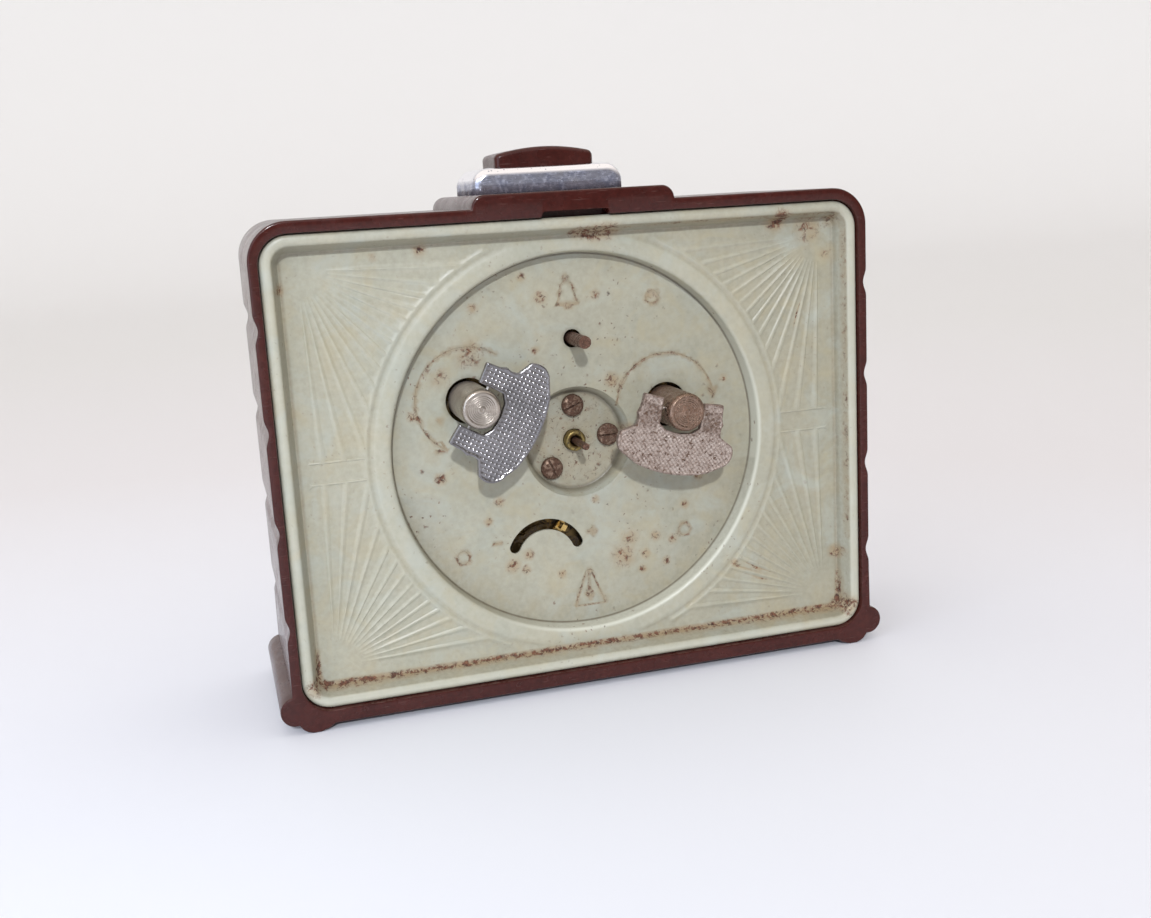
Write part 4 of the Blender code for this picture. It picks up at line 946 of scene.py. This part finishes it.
def make_cover():
    """The pressed sheet with its relief and holes, and the rolled bead round it."""
    coarse, fine, pitch = 160, 480, 1.05
    relief = Relief()
    sunburst(relief)
    stamped_marks(relief)
    border = cover_ring(FIELD_INSET)
    loops = []
    for i, r in enumerate(RECESS_RINGS):
        steps = coarse if r < 20.0 else fine
        loops.append(circle(r, steps, start_deg=180.0 / steps * (i % 2)))
    loops += [circle(radius, 28 if radius < 3.0 else 56, at) for at, radius in ROUND_HOLES]
    loops.append(slot_outline(28))
    guides = relief.guides()
    for radius in BAND_RINGS:
        ring = circle(radius, 300)
        guides += [(a, b) for a, b in zip(ring, ring[1:] + ring[:1])]
    guides = [guide for guide in guides if all(cover_distance(*p, FIELD_INSET) < -0.25 for p in guide)]
    loose = grid_points((-62.0, 62.0), (-47.0, 47.0), pitch)
    x, z = loose.T
    r = np.hypot(x, z)
    ring_gap = np.min([np.abs(r - radius) for radius in RECESS_RINGS + BAND_RINGS], axis=0)
    keep = (cover_distance(x, z, FIELD_INSET) < -0.5) & ~in_hole(x, z, 0.4) & (ring_gap > 0.3)
    keep &= relief.height(x, z)[1] > 0.25
    slot = np.array(slot_outline(28))
    keep &= np.min(np.hypot(x[:, None] - slot[:, 0], z[:, None] - slot[:, 1]), axis=1) > 0.4
    flat, triangles = sheet_mesh(border, loops, guides, loose[keep])
    centres = flat[triangles].mean(1)
    triangles = triangles[~in_hole(centres[:, 0], centres[:, 1])]
    depth = sheet_height(flat[:, 0], flat[:, 1], relief)
    edge = np.abs(cover_distance(flat[:, 0], flat[:, 1], FIELD_INSET)) < 0.002
    depth[edge] = FIELD_Y

    bm = bmesh.new()
    front = [bm.verts.new((x, y, CENTRE_Z + z)) for (x, z), y in zip(flat, depth)]
    back = [bm.verts.new((x, y - SHEET, CENTRE_Z + z)) for (x, z), y in zip(flat, depth)]
    two_skins(bm, triangles, front, back, lambda a, b: not (edge[a] and edge[b]))
    drops = ((-0.2, 1.0), (-0.1, 0.6), (0.15, 0.25), (0.6, 0.05), (1.1, 0.0), (1.8, 0.0), (2.15, 0.10),
             (2.35, 0.35), (2.5, 0.8), (2.8, 1.7), (3.2, 2.9), (3.5, 3.8), (3.75, 4.25), (4.1, 4.38))
    skin = [(-0.2, LEDGE_Y + 0.3), *((inset, BEAD_Y - drop) for inset, drop in drops), (FIELD_INSET, FIELD_Y)]
    lining = [(FIELD_INSET, FIELD_Y - SHEET), (3.7, FIELD_Y - SHEET + 0.1), (3.2, FIELD_Y - SHEET + 1.0),
              (2.0, BEAD_Y - 1.5), (1.7, BEAD_Y - SHEET), (1.0, BEAD_Y - SHEET), (0.6, BEAD_Y - 1.2),
              (0.6, LEDGE_Y + 0.3)]
    outer = loft(bm, [level(cover_ring(inset), y) for inset, y in skin])
    inner = loft(bm, [level(cover_ring(inset), y) for inset, y in lining])
    first, last = outer[0], inner[-1]
    for k in range(len(first)):
        j = (k + 1) % len(first)
        bm.faces.new((first[j], first[k], last[k], last[j]))
    cover = piece(bm, "back_cover", "cover_paint", "clock", ["back_plate"], 40.0)
    paint_cover(cover, relief)


# Rust on the cover: (x, z, radius, strength), from the hands' axis
RUST_SPOTS = [
    (-6.4, 47.5, 4.4, 1.0), (-2.0, 47.7, 3.2, 0.95), (-49.2, 47.6, 2.4, 1.0), (-57.0, 45.0, 4.0, 0.55),
    (-62.0, 39.0, 1.6, 0.6), (33.9, 46.0, 1.4, 0.8), (44.0, 45.4, 1.0, 0.6), (7.0, 33.8, 1.5, 0.8),
    (-6.0, 33.4, 1.2, 0.7), (-19.9, 32.5, 1.3, 0.6), (22.6, 32.5, 1.1, 0.8), (-8.8, 13.7, 1.6, 0.9),
    (17.2, -27.3, 1.6, 0.9), (19.5, -11.9, 1.3, 0.8), (-9.9, -28.7, 3.2, 0.65), (-11.5, -24.5, 2.2, 0.6),
    (-63.2, -33.7, 1.5, 1.0), (31.0, 17.5, 2.6, 0.55), (24.0, 22.4, 3.6, 0.6), (-33.0, 5.0, 1.6, 0.55),
    (65.2, -46.6, 2.2, 0.8), (-64.8, -46.8, 2.4, 0.9), (-62.5, 47.0, 2.4, 0.5), (-12.6, 2.0, 1.6, 0.6),
    (38.0, 9.7, 1.0, 1.0), (36.2, 8.6, 0.8, 0.9), (31.6, 8.2, 0.9, 0.9), (32.7, -5.1, 1.3, 1.0),
    (22.3, -16.2, 0.9, 1.0), (13.4, -25.2, 1.2, 1.0), (14.1, -28.7, 1.0, 0.9), (-15.2, -28.8, 1.2, 1.0),
    (-14.3, -32.5, 0.9, 0.9), (-17.9, -24.7, 1.2, 1.0), (-20.5, -31.1, 1.0, 0.9), (-22.3, -26.0, 1.1, 1.0),
    (-29.5, -11.2, 1.1, 0.9), (11.1, 38.6, 0.9, 0.9), (-36.6, 11.5, 0.9, 0.9), (64.0, 39.8, 1.1, 0.9),
    (-54.0, 24.9, 1.0, 1.0), (-36.6, -33.1, 0.9, 0.9), (-42.5, -35.0, 1.1, 1.0), (-43.0, -38.4, 1.0, 0.9),
    (-3.5, -14.0, 0.9, 0.9), (5.5, -31.0, 1.0, 0.9), (9.0, 22.0, 0.9, 0.8), (-25.5, -18.0, 1.0, 0.9),
]


def paint_cover(cover, relief):
    """Where the cover is rusty, grimy or worn bright, and where shade and highlights are painted on it."""
    x, _, z = points_of(cover)
    r = np.hypot(x, z)
    inset = -cover_distance(x, z, 0.0)
    raised, gap = relief.height(x, z)
    low = COVER_LOW.z - CENTRE_Z
    crease = bell(inset, 3.8, 0.75)
    line = bell(inset, 3.75, 0.46)
    bottom = unit((low + 7.5 - z) / 2.0)
    ends = unit((np.abs(x - 4.0) - 30.0) / 26.0)
    corners = unit((low + 17.0 - z) / 11.0) * (np.abs(x) > 55.0)
    recessed = (r < RECESS_R - 1.0) & (gap < 0.10)
    spots = []
    for at_x, at_z, radius, strength in RUST_SPOTS:
        squeeze = 6.0 if at_z > 46.5 and radius > 3.0 else 1.0
        away = (x - at_x) ** 2 + squeeze * (z - at_z) ** 2
        spots.append(strength * np.exp(-away / radius ** 2))
    rust = highest(*spots, (0.50 + 0.40 * ends) * crease * bottom, line * bottom,
                   0.40 * crease * unit((low + 26.0 - z) / 24.0), 0.95 * crease * corners,
                   0.22 * bell(inset, 4.0, 0.5), 0.42 * (x < 0.0) * (z > -30.0) * bell(inset, 2.6, 0.4),
                   0.23 * (r < 11.4), 0.46 * recessed)
    holes = [0.5 * bell(np.hypot(x - at[0], z - at[1]) - radius, 0.0, 0.35) for at, radius in ROUND_HOLES]
    top_edge = unit((z - COVER_HIGH.z + CENTRE_Z + 4.5) / 1.5) * (inset < 4.5)
    rays = (r > RING_R + 0.5) & (inset > 5.0) & (gap > 0.05) & (gap < 1.2)
    band = (r > BAND_R + 0.3) & (r < RING_R - 0.3) & (inset > 5.5)
    # Painted shade in the crease at the bead's foot, on the bead's inner slope and edge, along the top, on
    # the recess floor by its lower wall, in the recess, in the cup and in rings round the holes; dirt beside
    # the rays and the band and along the rusty bottom line.
    grime_and_shade = highest(*holes, 0.60 * bell(inset, 3.95, 0.22), 0.34 * bell(inset, 3.1, 0.7),
                    0.42 * bell(inset, 2.42, 0.13), 0.65 * line * bottom, 0.17 * top_edge,
                    0.26 * unit((r - 33.0) / 10.0) * (r < 43.6) * (z < -8.0), 0.16 * (r < 11.8),
                    0.35 * recessed, 0.06 * rays, 0.08 * band)
    # Painted highlight on the lower right of the recess wall where the key light falls, on the bead's crest
    # (strongest along the bottom) and on the bead at -X; worn paint on the raised lines; the band round the
    # recess is painted lighter.
    lit = unit((-x - z) / 40.0) * (r > 43.25) * (r < 44.0)
    wear_and_highlight = highest(0.16 * unit(raised / 0.26) * (r > RECESS_R), 1.6 * lit,
                   (0.60 + 0.40 * bottom) * bell(inset, 1.2, 0.8),
                   0.9 * (x < COVER_LOW.x + 4.0) * (inset < 3.4),
                   0.30 * ((r > 43.8) & (r < BAND_R + 0.2) & (inset > 5.0)))
    paint(cover, "rust", rust)
    paint(cover, "grime_and_shade", unit(grime_and_shade))
    paint(cover, "wear_and_highlight", wear_and_highlight)


# ---------- winding keys
def wing_outline():
    """The folding wing in (away from the arbor, across): a butterfly with a cut for the boss."""
    edge_r, edge_reach = 29.0, 14.8
    spread = atan2(9.0, edge_r) * 180.0 / pi
    upper = arc((edge_reach - edge_r, 0.0), edge_r, 0.0, spread, 10)
    upper += arc((8.4, 10.5), 3.6, 20.0, 122.0, 14)
    upper += arc((3.4, 13.1), 3.0, -60.0, -118.0, 6)
    upper += [(0.6, 9.9), (-2.2, 9.7)]
    upper += arc((-2.2, 9.3), 0.4, 90.0, 180.0, 3)
    upper += [(-2.3, 5.3)] + arc((-2.0, 5.3), 0.3, 180.0, 270.0, 3)
    upper += [(3.6, 5.0), (4.9, 3.2)]
    lower = [(x, -z) for x, z in reversed(upper) if z > 0.01]
    return evened(upper + [(5.3, 0.0)] + lower, 0.45)


def polygon_distance(x, z, outline):
    """Distance from each point to a closed outline, and whether it is inside."""
    flat = np.array(outline)
    nearest = np.full(len(x), 1e3)
    inside = np.zeros(len(x), bool)
    for start, end in zip(flat, np.roll(flat, -1, 0)):
        step = end - start
        dx, dz = x - start[0], z - start[1]
        share = unit((dx * step[0] + dz * step[1]) / (step @ step))
        nearest = np.minimum(nearest, np.hypot(dx - share * step[0], dz - share * step[1]))
        crosses = (start[1] > z) != (end[1] > z)
        rise = step[1] if abs(step[1]) > 1e-9 else 1e-9
        inside ^= crosses & (dx < dz * step[0] / rise)
    return nearest, inside


def make_wing(kind, slot, pitch, knurl, wavy):
    """A wing with a knurled face on both sides; wavy turns the dimple lattice by 45 degrees."""
    axis = JOINTS[f"{kind}_flap_fold"]["axis"]
    angle = atan2(-axis[0], axis[2])
    boss = middle(f"{kind}_key_boss")
    flap_low, flap_high = box(f"{kind}_key_flap")
    hinge_y = (flap_low.y + flap_high.y) / 2.0
    thick = flap_high.y - flap_low.y
    outline = wing_outline()
    border = 0.28
    shoulder = drawn_in(outline, border)
    loose = grid_points((-3.0, 15.0), (-14.5, 14.5), pitch / (4.2 if wavy else 5.4))
    gap, inside = polygon_distance(loose[:, 0], loose[:, 1], outline)
    flat, triangles = sheet_mesh(outline, [shoulder], [], loose[inside & (gap > border + 0.1)])
    centres = flat[triangles].mean(1)
    _, inside = polygon_distance(centres[:, 0], centres[:, 1], outline)
    triangles = triangles[inside]
    gap, _ = polygon_distance(flat[:, 0], flat[:, 1], outline)
    u, v = flat.T
    if wavy:
        u, v = (u + v) * 0.7071, (u - v) * 0.7071
    du, dv = (np.abs((c + pitch / 2.0) % pitch - pitch / 2.0) for c in (u, v))
    bumps = 2.0 * np.exp(-(du ** 2 + dv ** 2) / (0.30 * pitch) ** 2) - 1.0
    fade = unit((gap - 0.35) / 0.3)
    top = thick / 2.0 - knurl * (1.0 - bumps) * fade * 0.5
    top -= unit((border - gap) / border) ** 2 * 0.16
    place = Matrix.Translation((boss.x, hinge_y, boss.z)) @ Matrix.Rotation(-angle, 4, "Y")
    bm = bmesh.new()
    front, back = ([bm.verts.new(place @ Vector((a, side * t, c))) for (a, c), t in zip(flat, top)]
                   for side in (1.0, -1.0))
    two_skins(bm, triangles, front, back)
    wing = piece(bm, f"{kind}_wing", slot, f"{kind}_flap", [f"{kind}_key_flap"], 50.0)
    count = len(wing.data.vertices)
    values = np.zeros(count)
    in_valleys, on_edge, on_legs = (0.8, 1.0, 1.0) if wavy else (0.35, 0.4, 0.0)
    dirt = highest(in_valleys * unit(-bumps) * fade, on_edge * bell(gap, 0.1, 0.32),
                   on_legs * unit((5.6 - flat[:, 0]) / 3.4))
    values[:min(count, 2 * len(dirt))] = np.concatenate([dirt, dirt])[:count]
    paint(wing, "grime_and_shade", values)


def make_boss(kind, slot, look):
    """The winding arbor's end: turned rings on its face, a rounded edge, a neck below."""
    low, high = box(f"{kind}_key_boss")
    at = from_axis(f"{kind}_key_boss")
    radius, end = 4.35, high.y
    profile = [(0.0, end - 0.10), (0.35, end - 0.10), (0.45, end - 0.02)]
    for r in np.arange(0.8, 3.0, 0.42):
        profile += [(r, end - 0.02), (r + 0.08, end - 0.07), (r + 0.20, end - 0.07), (r + 0.28, end - 0.02)]
    profile += [(3.70, end), (3.95, end - 0.12), (4.15, end - 0.40), (4.30, end - 0.65),
                (radius, end - 0.95), (radius, low.y + 3.0), (3.0, low.y + 2.0), (3.0, low.y), (0.0, low.y)]
    made = turned(f"{kind}_boss", slot, f"{kind}_winding", [f"{kind}_key_boss"], at, profile, 72, 38.0, look)
    reach = 3.0 if kind == "time" else 6.0
    # The neck is painted darker and rust-coloured further down, towards the hole under the wing: painted
    # shade, with rust.
    paint(made, "grime_and_shade", np.clip((end - reach / 2.0 - points_of(made)[1]) / reach, 0.0, 0.85))


# ---------- screws
def make_screw(index, turn_deg):
    """A slotted screw with a slightly domed, worn head."""
    node = f"back_screw_{index}"
    low, high = box(node)
    at = from_axis(node)
    top, radius = high.y, (high.x - low.x) / 2.0
    profile = [(0.0, top), (0.9, top - 0.02), (1.6, top - 0.10), (2.1, top - 0.24),
               (radius - 0.12, top - 0.46), (radius, top - 0.72), (radius, top - 1.3), (1.1, top - 1.3),
               (1.1, low.y), (0.0, low.y)]
    made = turned(f"cover_screw_{index}", "rusty_steel", "clock", [node], at, profile, 48, 38.0)
    angle = radians(-turn_deg)
    corners = ((-3.2, -0.22), (3.2, -0.22), (3.2, 0.22), (-3.2, 0.22))
    slot = [(at[0] + a * cos(angle) - b * sin(angle), at[1] + a * sin(angle) + b * cos(angle))
            for a, b in corners]
    cut_out(made, [level(slot, top - 0.65), level(slot, top + 1.0)])
    # The slot and the head's sides are painted darker and rust-coloured: painted shade in the slot and round
    # the head, with rust.
    paint(made, "grime_and_shade", np.clip((top - 0.4 - points_of(made)[1]) / 0.5, 0.0, 0.9))


# ---------- hood and button
def make_bush():
    """Brass bush that fills the middle hole round the hands' arbor."""
    low, top = (corner.y for corner in box("centre_bush"))
    profile = [(1.15, top - 0.5), (1.4, top - 0.15), (1.7, top), (2.05, top), (2.3, top - 0.12),
               (2.44, top - 0.4), (2.44, low), (1.15, low)]
    turned("middle_bush", "brass", "clock", ["centre_bush"], (0.0, 0.0), profile, 48, 38.0, "bush_brass")


def make_hood():
    """Chrome hood: an arched strip with closed ends, round shoulders and a window for the button."""
    half_x, half_y = (HOOD_HIGH.x - HOOD_LOW.x) / 2.0, (HOOD_HIGH.y - HOOD_LOW.y) / 2.0
    at_y = (HOOD_HIGH.y + HOOD_LOW.y) / 2.0
    low, top = HOOD_LOW.z - 0.25, HOOD_HIGH.z
    shoulder, wall, edge = 4.1, 0.6, 2.1
    window_x = (BUTTON_HIGH.x - BUTTON_LOW.x) / 2.0 + 0.4
    window_y = (BUTTON_HIGH.y - BUTTON_LOW.y) / 2.0 + 0.4

    def arch(inset, y):
        right = arc((half_x - shoulder, top - shoulder), shoulder - inset, 0.0, 90.0, 14)
        return [(x, y, z) for x, z in mirrored([(half_x - inset, low)] + right)]

    def rounded(side):
        """The rings of one rounded end, from its face inwards."""
        turns = [radians(9.0 * i) for i in range(11)]
        return [arch(edge * (1.0 - sin(a)), at_y + side * (half_y - edge * (1.0 - cos(a)))) for a in turns]

    bm = bmesh.new()
    rings = rounded(1.0) + [arch(0.0, at_y + window_y), arch(0.0, at_y - window_y)] + rounded(-1.0)[::-1]
    layers = loft(bm, rings, strip=True)
    bm.faces.new(layers[0])
    bm.faces.new(list(reversed(layers[-1])))
    hood = piece(bm, "button_hood", "chrome", "clock", ["top_hood"], 35.0, look="old_chrome")
    thick = hood.modifiers.new("wall", "SOLIDIFY")
    thick.thickness = wall * MM
    thick.offset = -1.0
    keep_result(hood)
    plan = rounded_rect(-window_x, window_x, at_y - window_y, at_y + window_y, 0.5, 4, 2, 2)
    cut_out(hood, [[(x, y, z) for x, y in plan] for z in (top - 2.0, top + 2.0)])


def make_button():
    """Brown stop button: a bar with a domed top and softly rounded edges."""
    half_x, half_y = (BUTTON_HIGH.x - BUTTON_LOW.x) / 2.0, (BUTTON_HIGH.y - BUTTON_LOW.y) / 2.0
    at_y = (BUTTON_HIGH.y + BUTTON_LOW.y) / 2.0
    low, peak = BUTTON_LOW.z, BUTTON_HIGH.z
    rise = 1.5
    dome_r = (half_x ** 2 + rise ** 2) / (2.0 * rise)
    soft, corner_r = 0.9, 1.3
    bm = bmesh.new()

    def ring(inset, drop, z=None):
        """A rounded plan; its height is z, or drop below the dome."""
        plan = rounded_rect(-half_x + inset, half_x - inset, at_y - half_y + inset, at_y + half_y - inset,
                            max(corner_r - inset, 0.25), 5, 28, 14)
        return [(x, y, z or peak - dome_r + (dome_r ** 2 - x ** 2) ** 0.5 - drop) for x, y in plan]

    rings = [ring(0.0, 0.0, low), ring(0.0, 0.0, peak - rise - soft - 0.6)]
    for i in range(6):
        angle = radians(18.0 * i)
        rings.append(ring(soft * (1.0 - cos(angle)), soft * (1.0 - sin(angle)) + 0.12 * (1.0 - i / 5.0)))
    for share in (0.25, 0.5, 0.75):
        rings.append(ring(soft + (half_y - soft) * share, 0.0))
    layers = loft(bm, rings)
    bm.faces.new(list(reversed(layers[0])))
    bmesh.ops.contextual_create(bm, geom=[e for e in layers[-1][0].link_edges
                                          if all(v in layers[-1] for v in e.verts)])
    top_face = bm.faces.new(layers[-1])
    bmesh.ops.triangulate(bm, faces=[top_face])
    piece(bm, "button_cap", "bakelite", "button", ["stop_button"], 40.0)


def make_spring():
    """The coil spring under the stop button."""
    low, high = box("button_spring")
    middle_x, middle_y = (low.x + high.x) / 2.0, (low.y + high.y) / 2.0
    wire, travel, turns, per_turn, sides = 0.25, 1.5, 2.5, 40, 12
    coil_r = (high.x - low.x) / 2.0 - wire
    count = int(turns * per_turn)
    section = [(coil_r + r, up) for r, up in circle(wire, sides)]
    rings = []
    for i in range(count + 1):
        angle = 2.0 * pi * i / per_turn
        height = low.z + wire + (high.z - low.z - 2.0 * wire) * i / count
        rings.append([(middle_x + r * cos(angle), middle_y + r * sin(angle), height + up)
                      for r, up in section])
    bm = bmesh.new()
    solid(bm, rings)
    spring = piece(bm, "return_spring", "spring_steel", "clock", ["button_spring"], 50.0)
    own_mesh(spring)


# ---------- front
def make_front():
    """Bezel ring, domed crystal and the printing on the dial."""
    front, back = BEZEL_LOW.y, BEZEL_HIGH.y
    outer, inner = BEZEL_HIGH.x, BEZEL_HIGH.x - 5.9
    bezel = [(inner, back), (outer - 0.5, back), (outer - 0.1, back - 0.2), (outer, back - 0.6)]
    bezel += [(outer - 0.15, back - 1.0), (outer - 0.55, back - 1.4), (outer - 0.9, back - 1.45),
              (outer - 1.15, back - 1.65), (outer - 1.9, front + 0.25), (outer - 2.8, front),
              (outer - 3.7, front + 0.08), (outer - 4.5, front + 0.4), (outer - 5.2, front + 0.95),
              (inner, front + 1.7)]
    turned("bezel_ring", "chrome", "clock", ["bezel"], (0.0, 0.0), bezel, 160, 42.0)
    edge_y, dome_y = CRYSTAL_HIGH.y - 1.0, CRYSTAL_LOW.y
    seat_r = CRYSTAL_HIGH.x
    radii = (3, 8, 14, 20, 26, 32, 38)

    def dome(edge_r):
        """Heights over the edge at each radius."""
        return [(edge_y - dome_y) * (1.0 - (r / edge_r) ** 2) for r in radii]

    profile = [(seat_r, edge_y + 1.0), (seat_r, edge_y), (43.3, edge_y), (42.9, edge_y - 0.1)]
    profile += [(r, edge_y - up) for r, up in zip(radii, dome(43.3))][::-1]
    profile += [(0.0, dome_y), (0.0, dome_y + 1.1)]
    profile += [(r, edge_y + 1.0 - up) for r, up in zip(radii, dome(42.5))] + [(42.4, edge_y + 1.0)]
    turned("domed_crystal", "glass", "clock", ["crystal"], (0.0, 0.0), profile, 96, 30.0)
    make_printing()


def flat_bar(bm, at, angle_deg, inner, outer, width, y_span):
    """A small bar standing out from a centre, as a minute mark does."""
    angle = radians(angle_deg)
    ux, uz = cos(angle), sin(angle)
    corners = [(inner, -width / 2.0), (outer, -width / 2.0), (outer, width / 2.0), (inner, width / 2.0)]
    outline = [(at[0] + a * ux - b * uz, at[1] + a * uz + b * ux) for a, b in corners]
    solid(bm, [level(outline, y) for y in y_span])


def numeral(bm, text, at, size, y_span):
    """A plain numeral, centred on a point of the dial and facing -Y."""
    curve = bpy.data.curves.new("numeral", "FONT")
    curve.body = text
    curve.size = size
    curve.align_x = "CENTER"
    curve.align_y = "CENTER"
    curve.extrude = (y_span[1] - y_span[0]) / 2.0
    curve.offset = 0.012 * size
    holder = placed("numeral", curve)
    holder.matrix_world = (Matrix.Translation((at[0], sum(y_span) / 2.0, CENTRE_Z + at[1]))
                           @ Matrix.Rotation(radians(90.0), 4, "X"))
    bpy.context.view_layer.update()
    graph = bpy.context.evaluated_depsgraph_get()
    mesh = bpy.data.meshes.new_from_object(holder.evaluated_get(graph))
    mesh.transform(holder.matrix_world)
    bm.from_mesh(mesh)
    bpy.data.meshes.remove(mesh)
    bpy.data.objects.remove(holder)


def make_printing():
    """Numerals, minute track and alarm track: thin black paint on the dial."""
    ink = 0.06
    y_span = (DIAL_Y - ink, DIAL_Y - 0.005)
    hour_r, track, small_r, small_track = 35.2, (40.6, 43.2), 5.6, (7.2, 8.3, 8.8)
    bm = bmesh.new()
    for i in range(60):
        flat_bar(bm, (0.0, 0.0), 6.0 * i, *track, 0.28 if i % 5 else 0.9, y_span)
    for hour in range(1, 13):
        angle = 90.0 - 30.0 * hour
        numeral(bm, str(hour), arc((0.0, 0.0), hour_r, angle, angle, 1)[0], 8.2, y_span)
    for i in range(24):
        flat_bar(bm, ALARM_SET_AT, 15.0 * i, small_track[0], small_track[1 if i % 2 else 2], 0.22, y_span)
    for text, angle in (("3", 0.0), ("6", -90.0), ("9", 180.0)):
        numeral(bm, text, arc(ALARM_SET_AT, small_r, angle, angle, 1)[0], 2.2, y_span)
    piece(bm, "dial_print", "hand_paint", "clock", [], 30.0, 0.0002)


# ---------- carried-over CAD nodes
SLOT_NODES = {
    "brass": "front_movement_plate rear_movement_plate gong_post regulator_lever centre_wheel third_wheel "
             "fourth_wheel escape_wheel balance_wheel minute_wheel hour_wheel alarm_wheel time_great_wheel "
             "alarm_great_wheel strike_wheel",
    "spring_steel": "time_mainspring alarm_mainspring gong_ring hairspring",
    "hand_paint": "minute_hand hour_hand alarm_hand",
    "rusty_steel": "alarm_set_arbor centre_arbor",
    "dial_enamel": "dial",
}
NODE_SLOT = {name: slot for slot, names in SLOT_NODES.items() for name in names.split()}
# The rear movement plate takes brass painted dark, as painted shade.
SHADES = {"rear_movement_plate": "shade_dark_brass", "alarm_set_arbor": "dark_steel", "centre_arbor": "dark_steel"}


def dress_nodes():
    """Gives each CAD node that still shows its material: steel, unless the table says otherwise."""
    for name, node in frame["nodes"].items():
        if node.hide_render:
            continue
        slot = NODE_SLOT.get(name, "brass" if name.startswith("pillar") else "steel")
        node.data.materials.clear()
        node.data.materials.append(LOOKS[SHADES.get(name, slot)])


# ---------- stage, light and camera
def make_stage():
    """A floor that bends up into a wall beyond the clock, with a painted pool of pale bluish light on it
    beside the clock on the camera's side.
    """
    bend, far = 1.1, -1.3
    profile = [(4.0, 0.0), (1.0, 0.0), (far, 0.0)]
    profile += [(far - bend * sin(radians(a)), bend - bend * cos(radians(a))) for a in range(5, 91, 5)]
    profile.append((far - bend, 4.0))
    bm = bmesh.new()
    loft(bm, [[(x, y, z) for x in (-5.0, 5.0)] for y, z in profile], strip=True)
    mesh = bpy.data.meshes.new("sweep")
    bm.to_mesh(mesh)
    bm.free()
    mesh.shade_smooth()
    g = Surface("sweep_look")
    # Painted pool of light: the sweep is palest and bluish round a point on the camera's +X side, and greyer
    # further off.
    tone = g.ramp(g.vector("DISTANCE", g.place, (0.12, 0.16, 0.0)), (0.05, (0.76, 0.79, 0.865)),
                  (0.45, (0.695, 0.675, 0.69)), (0.98, (0.67, 0.66, 0.655)))
    mesh.materials.append(g.finish(tone, 0.6))
    placed("sweep", mesh)


def lamp(name, kind, energy, colour, aim):
    """A light that shines from the direction aim."""
    light = bpy.data.lights.new(name, kind)
    light.energy = energy
    light.color = colour
    made = placed(name, light)
    made.rotation_euler = Vector(aim).to_track_quat("Z", "Y").to_euler()
    return made


def make_light():
    """A low soft sun from behind the camera, a pale studio round it, darker on the camera's side."""
    sun = lamp("key", "SUN", 2.05, (0.92, 0.96, 1.02), (0.20, 1.0, 0.54))
    sun.data.angle = radians(2.8)
    window = lamp("window", "AREA", 1.15, (0.78, 0.90, 1.10), (0.42, 0.34, 0.18))
    window.data.size = 0.45
    window.location = (0.42, 0.34, 0.24)
    world = bpy.data.worlds.new("studio")
    bpy.context.scene.world = world
    world.use_nodes = True
    g = Graph(world.node_tree)
    g.tree.nodes.clear()
    facing = g.node("ShaderNodeTexCoord").outputs["Generated"]
    towards_camera = g.plus(g.times(g.axis(facing, "Y"), 0.5), 0.5)
    round_about = g.ramp(towards_camera, (0.0, (1.05, 0.98, 0.92)), (0.55, (1.0, 0.93, 0.86)),
                         (0.85, (0.44, 0.39, 0.34)), (1.0, (0.37, 0.33, 0.30)))
    overhead = g.rise(g.axis(facing, "Z"), 0.25, 0.75)
    lighting = g.node("ShaderNodeBackground")
    g.feed(lighting.inputs["Color"], g.mix(overhead, round_about, (2.5, 2.35, 2.2)))
    lighting.inputs["Strength"].default_value = 0.42
    backdrop = g.node("ShaderNodeBackground")
    backdrop.inputs["Color"].default_value = (0.87, 0.84, 0.83, 1.0)
    both = g.node("ShaderNodeMixShader")
    g.feed(both.inputs[0], g.node("ShaderNodeLightPath").outputs["Is Camera Ray"])
    g.feed(both.inputs[1], lighting.outputs[0])
    g.feed(both.inputs[2], backdrop.outputs[0])
    g.feed(g.node("ShaderNodeOutputWorld").inputs["Surface"], both.outputs[0])
    bpy.context.scene.view_settings.view_transform = "Standard"


def make_camera():
    """Stands behind the clock, a little above it and to its +X side."""
    camera = bpy.data.cameras.new("camera")
    camera.lens = 39.9
    camera.sensor_width = 36.0
    camera.shift_x = 0.001
    camera.shift_y = -0.0034
    camera.clip_start = 0.01
    camera.clip_end = 50.0
    holder = placed("camera", camera)
    holder.location = Vector((80.4, 290.8, 113.0)) * MM
    holder.rotation_euler = [radians(a) for a in (78.33, 3.20, 163.37)]
    bpy.context.scene.camera = holder


def main():
    make_case()
    make_cover()
    make_wing("alarm", "nickel", 0.98, 0.20, False)
    make_wing("time", "rusty_nickel", 0.74, 0.15, True)
    make_boss("alarm", "nickel", "nickel_boss")
    make_boss("time", "rusty_nickel", "rusty_boss")
    for index, turn_deg in ((1, 22.0), (2, 0.0), (3, -70.0)):
        make_screw(index, turn_deg)
    make_bush()
    make_hood()
    make_button()
    make_spring()
    make_front()
    dress_nodes()
    make_stage()
    make_light()
    make_camera()


main()
